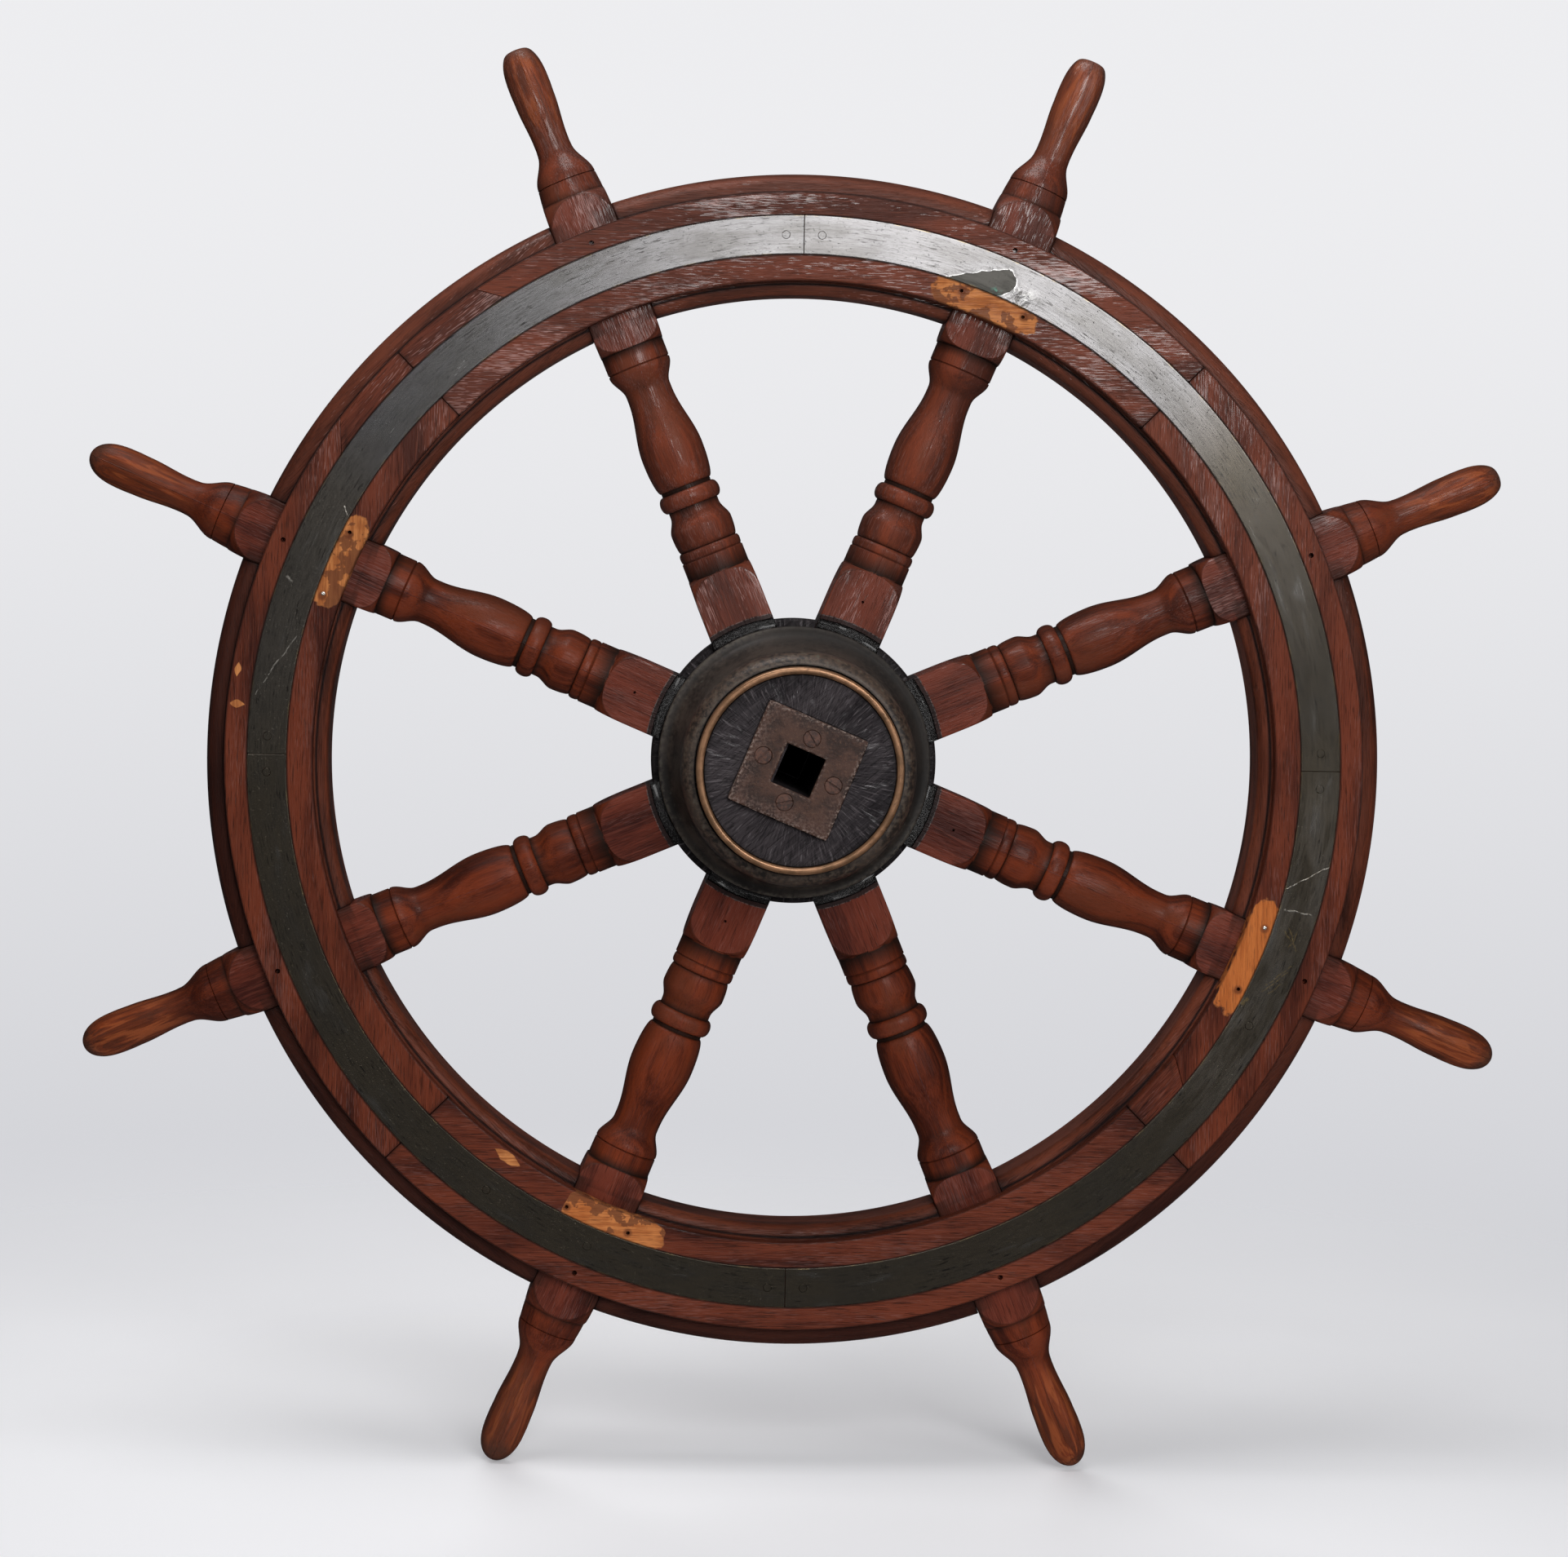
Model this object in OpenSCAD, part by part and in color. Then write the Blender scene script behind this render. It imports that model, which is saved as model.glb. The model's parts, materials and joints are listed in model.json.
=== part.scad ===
// A ship's steering wheel with eight turned spokes, a moulded rim faced on both sides, a metal band let
// into the front facing, and a long nave held between two bell-shaped flanges.
// Lengths are in millimetres. Each piece is drawn with the wheel lying on its back: x and y lie in the
// plane of the wheel, z is the axle and points to the front. upright() then stands it up, facing -y.

/* [Rim] */
// Radius of the rim's outer edge, between the handles
rim_r = 503.9; // [495:0.1:530]
// Width of the rim from its inner edge to its outer edge
rim_w = 104.7; // [100:0.1:116]
// Width of the rounded outer edge, on the face of the rim
outer_round_w = 13.8; // [8:0.1:18]
// Depth of the rounded outer edge, from front to back
outer_round_h = 16.6; // [8:0.1:20]
// Width of the rounded inner edge, on the face of the rim
inner_round_w = 9.5; // [5:0.1:12]
// Depth of the rounded inner edge, from front to back
inner_round_h = 9.5; // [5:0.1:14]
// Height of the small step beside the rounded inner edge
quirk = 1.1; // [0.6:0.1:2]

/* [Facings] */
// Distance from the rim's inner edge to the facing
facing_inset = 12.1; // [11:0.1:16]
// Width of the facing rings
facing_w = 75.2; // [70:0.1:77]
// Thickness of the facing rings
facing_t = 12; // [9:0.5:16]
// Bevel on the facing's two front corners
facing_bevel = 1.2; // [0.6:0.1:2.5]
// Direction of the first joint between facing segments, in degrees
facing_joint_a = 45; // [40:1:50]
// Length of the repair piece left of the upper left joint, in degrees at the band
left_patch_a = 11.9; // [8:0.1:14]
// Length of the repair piece right of the upper left joint, in degrees at the band
right_patch_a = 12.7; // [8:0.1:14]
// Length of the repair piece above the lower right joint, in degrees at the band
inner_patch_a = 5.6; // [4:0.1:9]
// How far the slanted joint of a repair piece runs over, in degrees
patch_slant_a = 2.7; // [1:0.1:3]

/* [Metal band] */
// Width of the metal band
band_w = 33.4; // [28:0.1:36]
// Thickness of the metal band
band_t = 3; // [2:0.1:4]
// Wood left between the band and the facing's inner edge
band_inset = 22.2; // [20:0.1:24]
// Direction of the first joint in the band, in degrees
band_joint_a = 0; // [-4:0.5:4]
// Diameter of the flush band pins
pin_d = 6.8; // [5:0.1:8]
// Length of the band pins
pin_len = 17; // [14:0.5:19]
// Distance of a band pin from the joint
pin_set = 15.3; // [10:0.1:20]

/* [Spokes] */
// Side of the square spoke blank
spoke_w = 57.15; // [54:0.05:59]
// Distance of the handle tips from the rim's outer edge
handle_len = 156.1; // [140:0.1:170]
// Width of the tenon in the nave
tenon_w = 40; // [34:0.5:44]
// Thickness of the tenon, from front to back
tenon_t = 30; // [24:0.5:34]
// Length of the tenon
tenon_len = 30; // [20:0.5:32]
// Depth that the square end of a spoke is housed in the nave
housing = 22.5; // [16:0.5:26]

/* [Spoke turning, outwards from the nave] */
// Square length between the nave and the turned corners
hub_block_len = 29.5; // [26:0.1:38]
// Length over which the square turns round at the nave
hub_arch_len = 23; // [16:0.1:28]
// Diameter of the collar beside the square
hub_collar_d = 55.3; // [52:0.1:56]
// Length of the collar beside the square
hub_collar_len = 15.5; // [8:0.1:20]
// Width of a scribed line
scribe_w = 2; // [1:0.1:3]
// Depth of a scribed line
scribe_h = 1.1; // [0.4:0.1:1.5]
// Diameter of the thin ring
ring_d = 55; // [50:0.1:56]
// Length of the thin ring
ring_len = 8; // [6:0.1:10]
// Diameter in the hollow between the thin ring and the ball
ring_cove_d = 49.8; // [46:0.1:51]
// Diameter of the ball
ball_d = 54.9; // [51:0.1:56]
// Length of the ball
ball_len = 32; // [26:0.1:36]
// Diameter of the neck beyond the ball
ball_neck_d = 45.1; // [40:0.1:48]
// Length of the neck beyond the ball
ball_neck_len = 4; // [2:0.1:9]
// Diameter of the bead
bead_d = 54.1; // [50:0.1:55]
// Length of the bead
bead_len = 15; // [11:0.1:18]
// Diameter in the groove between bead and vase
bead_groove_d = 44.6; // [42:0.1:48]
// Length of the groove between bead and vase
bead_groove_len = 3.5; // [1:0.1:6]
// Diameter of the vase at its fullest
vase_d = 54.9; // [50:0.1:56]
// Length of the vase from its groove to its fullest
vase_rise_len = 30; // [22:0.1:36]

/* [Spoke turning, inwards from the rim] */
// Length over which the square turns round inside the rim
rim_arch_len = 19.7; // [14:0.1:24]
// Diameter of the collar inside the rim
rim_collar_d = 56; // [52:0.1:56.5]
// Length of the collar inside the rim
rim_collar_len = 15; // [10:0.1:20]
// Length of the swell between neck and collar
swell_len = 21; // [15:0.1:26]
// Diameter of the vase's neck
vase_neck_d = 40; // [36:0.1:43]
// Length of the vase's neck
vase_neck_len = 4; // [2:0.1:8]

/* [Handles] */
// Length over which the square turns round outside the rim
handle_arch_len = 24; // [16:0.1:28]
// Diameter of the handle's shoulder
shoulder_d = 55; // [50:0.1:56.5]
// Diameter of the shoulder at its outer end
shoulder_end_d = 52.4; // [48:0.1:55]
// Length of the handle's shoulder
shoulder_len = 13.4; // [8:0.1:18]
// Length over which the shoulder falls to the neck
shoulder_fall = 29.5; // [26:0.1:38]
// Diameter of the handle's neck
handle_neck_d = 31.4; // [28:0.1:34]
// Length of the handle's neck
handle_neck_len = 7; // [4:0.1:12]
// Diameter of the grip at its fullest
grip_d = 36.9; // [35:0.1:40]
// Length of the rounded end of the grip
grip_end_len = 39; // [30:0.1:46]

/* [Nave] */
// Radius of the belt that shows between the spokes
belt_r = 122.5; // [120:0.1:128]
// Height of the belt, from front to back
belt_w = 34; // [26:0.5:42]
// Bevel on the belt's two corners
belt_bevel = 2; // [1:0.1:4]
// Length of the nave between its two end faces
nave_len = 294; // [284:0.5:304]
// Radius of the nave inside the flanges
core_r = 89.8; // [86.5:0.1:91.5]
// Radius of the turned ends of the nave
nose_r = 79.8; // [76:0.1:80.5]
// Length of each turned end
nose_len = 22; // [18:0.5:24]
// Side of the square shaft hole
shaft_hole_w = 35; // [30:0.5:37]
// Turn of the square shaft hole and the iron plates, in degrees
shaft_turn_a = -22.5; // [-45:0.5:0]
// Depth of the recess that the spokes and the nave have for the flanges
rebate = 3; // [1:0.1:4]
// Radius of the recess
rebate_r = 125; // [123:0.1:130]

/* [Flanges] */
// Radius of the flange at its base
flange_r = 116.3; // [113:0.1:118]
// Thickness of the flange at its edge
flange_edge_t = 12.4; // [10:0.1:16]
// Width of the flat brim
brim_w = 4; // [2:0.1:6]
// Radius of the neck of the bell
bell_neck_r = 96.2; // [95.5:0.1:97]
// Radius of the bell's lip
bell_lip_r = 98.4; // [97.5:0.1:101]
// Height of the bell's lip above the base
bell_lip_h = 92; // [84:0.1:94]
// Height of the bell above its base
bell_h = 110; // [104:0.1:114]
// Radius of the bell's mouth
bell_mouth_r = 88.4; // [88:0.1:90]
// Thickness of metal around the mouth
bell_mouth_t = 1.4; // [1:0.1:1.5]
// Radius of the nose ring
nose_ring_r = 86; // [84:0.1:86.3]
// How far the nose ring stands out from the end of the nave
nose_ring_proud = 3; // [1:0.1:5]
// Rounding of the nose ring's front corners
nose_ring_round = 2.4; // [1:0.1:2.6]

/* [Shaft plates] */
// Side of the square iron plate
plate_w = 89; // [84:0.5:96]
// Thickness of the iron plate
plate_t = 9.5; // [7:0.1:13]
// Depth that the plate is let into the nave
plate_sink = 1.5; // [0.5:0.1:3]
// Play around the plate in its recess
plate_play = 0.8; // [0.4:0.1:1.5]
// Shift of the front plate from the axle, along its own first side
plate_shift = -2.2; // [-2.4:0.1:2.4]
// Distance of two of the screws from the plate's middle, along its first side
plate_screw_x = 31.5; // [30:0.1:32.5]
// Distance of the other two screws from the plate's middle, along its second side
plate_screw_y = 28.5; // [27.5:0.1:32.5]

/* [Fastenings] */
// Diameter of a plate screw's head
plate_head_d = 14.5; // [13:0.1:15]
// Diameter of a plate screw's shank
plate_screw_d = 6.6; // [5:0.1:8]
// Length of a plate screw
plate_screw_len = 50; // [35:1:60]
// Width of a screw slot
slot_w = 1.8; // [1:0.1:2.4]
// Depth of a screw slot
slot_h = 1.6; // [0.8:0.1:2]
// Distance of the hub bolts from the axle
bolt_r = 107.5; // [106:0.1:108.5]
// Diameter of a hub bolt
bolt_d = 8; // [6:0.1:9]
// Diameter of a hub bolt's head
bolt_head_d = 14; // [12:0.1:14.5]
// Depth of a hub bolt in the front flange
bolt_bite = 9; // [6:0.1:10]
// Diameter of a facing screw's head
facing_head_d = 9; // [7:0.1:10]
// Diameter of a facing screw's shank
facing_screw_d = 4.8; // [4:0.1:5.5]
// Length of a facing screw
facing_screw_len = 22; // [18:0.5:24]
// Distance of a facing screw from the middle of a spoke
facing_screw_set = 38; // [34:0.5:38.5]
// Diameter of the wooden plugs over the rear screws
plug_d = 12; // [11:0.5:14]
// Depth of the wooden plugs
plug_t = 4.5; // [3:0.5:5]
// Diameter of the felloe dowels
dowel_d = 12; // [9:0.5:14]
// Depth of a dowel in each felloe
dowel_bite = 30; // [20:1:40]

/* [Small holes] */
// Distance of the outer screw hole on each spoke's line from the axle
outer_hole_r = 475.5; // [473:0.1:479]
// Diameter of the outer screw holes
outer_hole_d = 3.6; // [2:0.1:4.5]
// Distance of the paired screw holes from the axle
pair_hole_r = 426; // [420:0.1:428]
// Distance of a paired screw hole from the spoke's line
pair_hole_set = 28.5; // [24:0.1:32]
// Diameter of the paired screw holes
pair_hole_d = 2.8; // [2:0.1:4]
// Distance of the nail hole in every second spoke from the axle
nail_hole_r = 149; // [140:0.5:152]
// Diameter of the nail hole
nail_hole_d = 2.4; // [1.5:0.1:3]
// Depth of the small holes
small_hole_h = 8; // [5:0.5:8.5]

/* [Fits] */
// Gap around a tenon, a housing or a spoke in the rim, on each side
wood_gap = 0.1; // [0.05:0.01:0.2]
// Gap between a round piece and its hole, on the radius
round_gap = 0.1; // [0.05:0.01:0.2]
// Gap at a joint between two segments of a facing
facing_gap = 0.5; // [0.1:0.05:1]
// Gap at a joint between two segments of the band
band_gap = 0.35; // [0.1:0.05:0.6]

/* [Hidden] */
$fn = 96;
spoke_count = 8;
segment_count = 4;
spoke_step = 360 / spoke_count;
segment_step = 360 / segment_count;
// How far each spoke, laid out by hand, lies from its even place, in degrees
spoke_lean = [0.35, 0.25, -0.15, -0.1, 0.45, 0.2, 0.3, 0.25];
// Directions of three band pins that were added between the joints
late_pins = [235.2, 247.8, 330.9];
// Turn of each plate screw's slot
slot_turns = [-10, 67, -37, 34];
// How far a cut runs past the face that it starts from
overcut = 1;
// How far a spoke stays square inside the rim's inner edge
square_margin = 1.5;
// How far inside the rim's outer edge a spoke starts to turn round
handle_margin = 6.4;
// How far a repair piece runs under the band
patch_lap = 6;
// Straight edge of a countersunk head
head_land = 0.4;
// Rounding of the flange's edge
flange_edge_round = 2;
// Share of the bell's height at which its cove ends
cove_share = 0.78;

half_w = spoke_w / 2;
rim_inner_r = rim_r - rim_w;
facing_inner_r = rim_inner_r + facing_inset;
facing_outer_r = facing_inner_r + facing_w;
facing_z = half_w + facing_t;
band_inner_r = facing_inner_r + band_inset;
band_outer_r = band_inner_r + band_w;
band_mid_r = (band_inner_r + band_outer_r) / 2;
band_z = facing_z - band_t;
tip_r = rim_r + handle_len;
house_r = belt_r - housing;
tenon_root_r = house_r - tenon_len;
seat_z = half_w - rebate;
nave_z = nave_len / 2;
shoulder_z = nave_z - nose_len;
bore_r = core_r + round_gap;
plate_back_z = nave_z - plate_sink;
plate_z = plate_back_z + plate_t;
bolt_tail_z = seat_z + bolt_bite;
bolt_head_z = seat_z + flange_edge_t;
facing_screw_turn = atan(facing_screw_set / band_mid_r);
corner_d = 2 * (half_w * sqrt(2) + overcut);

// Curves

function blend(a, b, t) = a + (b - a) * t;

// Points of an ogee between two stations, without the first. A station is [distance, diameter].
function wave(a, b, steps = 8) = [
    for (i = [1 : steps])
        let (t = i / steps)
        [blend(a[0], b[0], t), blend(a[1], b[1], (1 - cos(180 * t)) / 2)]
];

// Quarter of an ellipse that changes its diameter first and its distance last
function quick(a, b, steps = 6) = [
    for (i = [1 : steps])
        let (t = 90 * i / steps)
        [blend(a[0], b[0], 1 - cos(t)), blend(a[1], b[1], sin(t))]
];

// Quarter of an ellipse that changes its distance first and its diameter last
function slow(a, b, steps = 6) = [
    for (i = [1 : steps])
        let (t = 90 * i / steps)
        [blend(a[0], b[0], sin(t)), blend(a[1], b[1], 1 - cos(t))]
];

// A half-round bead from one station to the next, with its crest between them
function bead(a, b, crest_d, steps = 5) =
    let (crest = [(a[0] + b[0]) / 2, crest_d])
    concat(quick(a, crest, steps), slow(crest, b, steps));

// A V-shaped scribed line that starts at a station
function scribe(at, w = scribe_w) = [
    [at[0] + w / 2, at[1] - 2 * scribe_h],
    [at[0] + w, at[1]]
];

// The blunt round end of a grip
function grip_end(from, len, steps = 9) = [
    for (i = [1 : steps])
        let (t = 90 * i / steps)
        [from[0] + len * pow(sin(t), 2 / 3), from[1] * cos(t)]
];

// Layout

function spoke_a(i) =
    let (turn = floor((i - 1) / spoke_count))
    spoke_step / 2 + spoke_step * (i - 1) + spoke_lean[i - 1 - spoke_count * turn];

function facing_a(i) = facing_joint_a + segment_step * (i - 1);
function band_a(i) = band_joint_a + segment_step * (i - 1);

module upright() {
    rotate([90, 0, 0]) children();
}

module at_spoke(i) {
    rotate([0, 0, spoke_a(i)]) children();
}

// The same shape on the back of the wheel
module behind() {
    mirror([0, 0, 1]) children();
}

// Fastenings that more than one piece is cut for

module facing_screw_places() {
    for (i = [1 : spoke_count], side = [-1, 1])
        at_spoke(i) rotate([0, 0, side * facing_screw_turn]) translate([band_mid_r, 0, 0]) children();
}

module band_pin_places() {
    pin_turn = atan(pin_set / band_mid_r);
    beside_joints = [for (i = [1 : segment_count], side = [-1, 1]) band_a(i) + side * pin_turn];
    for (a = concat(beside_joints, late_pins))
        rotate([0, 0, a]) translate([band_mid_r, 0, 0]) children();
}

module hub_bolt_places() {
    for (i = [1 : spoke_count])
        at_spoke(i) translate([bolt_r, 0, 0]) children();
}

module plate_screw_places() {
    translate([plate_screw_x, 0, 0]) rotate([0, 0, slot_turns[0]]) children();
    translate([-plate_screw_x, 0, 0]) rotate([0, 0, slot_turns[1]]) children();
    translate([0, plate_screw_y, 0]) rotate([0, 0, slot_turns[2]]) children();
    translate([0, -plate_screw_y, 0]) rotate([0, 0, slot_turns[3]]) children();
}

// A countersunk screw with its head at z = 0, pointing down, or the hole for it with a gap all round
module countersunk(head_d, shank_d, len, gap = 0) {
    cone_h = (head_d - shank_d) / 2;
    rotate_extrude() polygon([
        [0, gap > 0 ? overcut : 0],
        [head_d / 2 + gap, gap > 0 ? overcut : 0],
        [head_d / 2 + gap, -head_land],
        [shank_d / 2 + gap, -head_land - cone_h],
        [shank_d / 2 + gap, -len + shank_d],
        [gap, -len - gap],
        [0, -len - gap]
    ]);
}

module screw_slot(head_d) {
    translate([-head_d, -slot_w / 2, -slot_h]) cube([2 * head_d, slot_w, slot_h + overcut]);
}

module facing_screw(gap = 0) {
    countersunk(facing_head_d, facing_screw_d, facing_screw_len, gap);
}

module front_facing_screw_cuts() {
    facing_screw_places() translate([0, 0, band_z]) facing_screw(round_gap);
}

module rear_facing_screw_cuts() {
    facing_screw_places() translate([0, 0, -facing_z + plug_t]) mirror([0, 0, 1]) facing_screw(round_gap);
}

module band_pin_cuts() {
    band_pin_places()
        translate([0, 0, facing_z - pin_len]) cylinder(h = pin_len + overcut, d = pin_d + 2 * round_gap);
}

// The turned shape of a spoke

nave_square = [belt_r + hub_block_len, corner_d];
hub_collar = [nave_square[0] + hub_arch_len, hub_collar_d];
hub_collar_end = [hub_collar[0] + hub_collar_len, hub_collar_d];
ring_start = [hub_collar_end[0] + scribe_w, ring_d - scribe_h];
ring_end = [ring_start[0] + ring_len, ring_cove_d];
ball_crest = [ring_end[0] + ball_len / 2, ball_d];
ball_end = [ring_end[0] + ball_len, ball_neck_d];
bead_start = [ball_end[0] + ball_neck_len, ball_neck_d];
bead_end = [bead_start[0] + bead_len, bead_groove_d];
groove_end = [bead_end[0] + bead_groove_len, bead_groove_d];
vase_crest = [groove_end[0] + vase_rise_len, vase_d];

rim_square = [rim_inner_r + square_margin, corner_d];
rim_collar_end = [rim_square[0] - rim_arch_len, rim_collar_d];
rim_collar = [rim_collar_end[0] - rim_collar_len, rim_collar_d];
swell_top = [rim_collar[0] - scribe_w, rim_collar_d];
vase_neck_end = [swell_top[0] - swell_len, vase_neck_d];
vase_neck = [vase_neck_end[0] - vase_neck_len, vase_neck_d];

outer_square = [rim_r - handle_margin, corner_d];
shoulder = [outer_square[0] + handle_arch_len, shoulder_d];
shoulder_scribe = [shoulder[0] + shoulder_len, shoulder_end_d];
shoulder_end = [shoulder_scribe[0] + scribe_w / 2, shoulder_end_d];
handle_neck = [shoulder_end[0] + shoulder_fall, handle_neck_d];
handle_neck_end = [handle_neck[0] + handle_neck_len, handle_neck_d];
grip_crest = [tip_r - grip_end_len, grip_d];

function spoke_stations() = concat(
    [[tenon_root_r - overcut, corner_d], nave_square],
    slow(nave_square, hub_collar, 8),
    [hub_collar_end],
    scribe(hub_collar_end),
    bead(ring_start, ring_end, ring_d, 4),
    quick(ring_end, ball_crest),
    wave(ball_crest, ball_end),
    [bead_start],
    bead(bead_start, bead_end, bead_d),
    [groove_end],
    quick(groove_end, vase_crest),
    wave(vase_crest, vase_neck, 10),
    [vase_neck_end],
    wave(vase_neck_end, swell_top),
    scribe(swell_top),
    [rim_collar_end],
    quick(rim_collar_end, rim_square, 8),
    [outer_square],
    slow(outer_square, shoulder, 8),
    [shoulder_scribe],
    scribe(shoulder_scribe, scribe_w / 2),
    wave(shoulder_end, handle_neck),
    [handle_neck_end],
    wave(handle_neck_end, grip_crest),
    grip_end(grip_crest, grip_end_len)
);

module turned_spoke() {
    stations = spoke_stations();
    last = stations[len(stations) - 1];
    outline = [for (s = stations) [max(s[1], 0) / 2, s[0]]];
    rotate([0, 90, 0]) rotate([0, 0, 90])
        rotate_extrude() polygon(concat([[0, stations[0][0]]], outline, [[0, last[0]]]));
}

module spoke_blank() {
    translate([house_r, -half_w, -half_w]) cube([tip_r - house_r + overcut, spoke_w, spoke_w]);
    translate([tenon_root_r, -tenon_w / 2, -tenon_t / 2]) cube([tenon_len + overcut, tenon_w, tenon_t]);
}

module flange_recess() {
    translate([0, 0, seat_z]) cylinder(h = rebate + overcut, r = rebate_r);
}

module spoke(i) {
    color("#7c3420") upright() at_spoke(i) difference() {
        intersection() {
            turned_spoke();
            spoke_blank();
        }
        flange_recess();
        behind() flange_recess();
        translate([bolt_r, 0, -half_w - overcut])
            cylinder(h = spoke_w + 2 * overcut, d = bolt_d + 2 * round_gap);
        translate([band_mid_r, 0, 0]) rotate([90, 0, 0])
            cylinder(h = spoke_w + 2 * overcut, d = dowel_d + 2 * round_gap, center = true);
        if (i % 2 == 0)
            translate([nail_hole_r, 0, half_w - small_hole_h])
                cylinder(h = small_hole_h + overcut, d = nail_hole_d, $fn = 24);
        rotate([0, 0, -spoke_a(i)]) band_pin_cuts();
    }
}

// The rim

// One quarter of a rounded edge, as [radius, height] points from the wall to the face
function round_edge(wall_r, face_r, wall_z, face_z, steps = 8) = [
    for (i = [0 : steps])
        let (t = 90 * i / steps)
        [blend(wall_r, face_r, 1 - cos(t)), blend(wall_z, face_z, sin(t))]
];

module rim_outline() {
    inner_face_r = rim_inner_r + inner_round_w;
    inner_top_z = half_w - quirk;
    outer = round_edge(rim_r, rim_r - outer_round_w, half_w - outer_round_h, half_w);
    inner = round_edge(rim_inner_r, inner_face_r, inner_top_z - inner_round_h, inner_top_z);
    step = [[inner_face_r, half_w]];
    front = concat(outer, step, [for (i = [len(inner) - 1 : -1 : 0]) inner[i]]);
    back = [for (i = [len(front) - 1 : -1 : 0]) [front[i][0], -front[i][1]]];
    polygon(concat(front, back));
}

module spoke_way() {
    translate([rim_inner_r - overcut, -half_w - wood_gap, -half_w - overcut])
        cube([rim_w + 2 * overcut, spoke_w + 2 * wood_gap, spoke_w + 2 * overcut]);
}

module dowel_cut(i) {
    at_spoke(i) translate([band_mid_r, 0, 0]) rotate([90, 0, 0])
        cylinder(h = spoke_w + 2 * dowel_bite + 2 * round_gap, d = dowel_d + 2 * round_gap, center = true);
}

module felloe(i) {
    color("#5c2a22") upright() difference() {
        rotate([0, 0, spoke_a(i)])
            rotate_extrude(angle = spoke_a(i + 1) - spoke_a(i), $fn = 180) rim_outline();
        for (j = [i, i + 1]) {
            at_spoke(j) spoke_way();
            dowel_cut(j);
        }
        front_facing_screw_cuts();
        rear_facing_screw_cuts();
        band_pin_cuts();
    }
}

module felloe_dowels() {
    color("#8a5a34") upright() for (i = [1 : spoke_count])
        at_spoke(i) translate([band_mid_r, 0, 0]) rotate([90, 0, 0])
            cylinder(h = spoke_w + 2 * dowel_bite, d = dowel_d, center = true);
}

// The facings

module facing_outline() {
    polygon([
        [facing_inner_r, half_w],
        [facing_outer_r, half_w],
        [facing_outer_r, facing_z - facing_bevel],
        [facing_outer_r - facing_bevel, facing_z],
        [facing_inner_r + facing_bevel, facing_z],
        [facing_inner_r, facing_z - facing_bevel]
    ]);
}

module facing_segment(i) {
    gap_a = facing_gap / facing_outer_r * 180 / PI;
    rotate([0, 0, facing_a(i) + gap_a / 2])
        rotate_extrude(angle = segment_step - gap_a, $fn = 180) facing_outline();
}

module band_groove() {
    translate([0, 0, band_z]) difference() {
        cylinder(h = band_t + overcut, r = band_outer_r + round_gap, $fn = 180);
        translate([0, 0, -overcut])
            cylinder(h = band_t + 3 * overcut, r = band_inner_r - round_gap, $fn = 180);
    }
}

// Flat area of a repair piece, from the joint at a0 to a slanted joint that runs from a_band, under the
// band at r_band, to a_edge, at the facing's edge. Its cut in the facing has a gap at the slanted joint.
module patch_area(r_band, r_edge, a0, a_band, a_edge, gap) {
    gap_a = sign(a_band - a0) * gap / r_band * 180 / PI;
    r_far = r_edge + 2 * overcut * sign(r_edge - r_band);
    translate([0, 0, half_w - overcut]) linear_extrude(facing_t + 2 * overcut) polygon(concat(
        [for (k = [0 : 6]) let (a = blend(a0, a_band + gap_a, k / 6)) r_band * [cos(a), sin(a)]],
        [for (k = [6 : -1 : 0]) let (a = blend(a0, a_edge + gap_a, k / 6)) r_far * [cos(a), sin(a)]]
    ));
}

module left_patch_area(gap = 0) {
    a0 = facing_a(2);
    a_band = a0 + left_patch_a;
    patch_area(band_outer_r - patch_lap, facing_outer_r, a0, a_band, a_band - patch_slant_a, gap);
}

module right_patch_area(gap = 0) {
    a0 = facing_a(2);
    a_band = a0 - right_patch_a;
    patch_area(band_outer_r - patch_lap, facing_outer_r, a0, a_band, a_band + patch_slant_a, gap);
}

module inner_patch_area(gap = 0) {
    a0 = facing_a(4);
    a_band = a0 + inner_patch_a;
    patch_area(band_inner_r + patch_lap, facing_inner_r, a0, a_band, a_band + patch_slant_a, gap);
}

module small_holes() {
    top = facing_z - small_hole_h;
    for (i = [1 : spoke_count]) at_spoke(i) {
        translate([outer_hole_r, 0, top]) cylinder(h = small_hole_h + overcut, d = outer_hole_d, $fn = 24);
        if (i % 2 == 0)
            for (side = [-1, 1])
                translate([pair_hole_r, side * pair_hole_set, top])
                    cylinder(h = small_hole_h + overcut, d = pair_hole_d, $fn = 24);
    }
}

module front_facing(i) {
    color("#8b4633") upright() difference() {
        facing_segment(i);
        band_groove();
        front_facing_screw_cuts();
        band_pin_cuts();
        small_holes();
        if (i == 1) right_patch_area(wood_gap);
        if (i == 2) left_patch_area(wood_gap);
        if (i == 4) inner_patch_area(wood_gap);
    }
}

module facing_patch(i) {
    intersection() {
        difference() {
            facing_segment(i);
            band_groove();
        }
        children();
    }
}

module left_facing_patch() {
    color("#7f3f2e") upright() facing_patch(2) left_patch_area();
}

module right_facing_patch() {
    color("#7f3f2e") upright() facing_patch(1) right_patch_area();
}

module inner_facing_patch() {
    color("#7f3f2e") upright() facing_patch(4) inner_patch_area();
}

module rear_plug_places() {
    facing_screw_places() translate([0, 0, -facing_z]) children();
}

module rear_facing(i) {
    color("#7a3b2b") upright() difference() {
        behind() facing_segment(i);
        rear_facing_screw_cuts();
        rear_plug_places() translate([0, 0, -overcut])
            cylinder(h = plug_t + overcut, d = plug_d + 2 * round_gap);
    }
}

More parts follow.
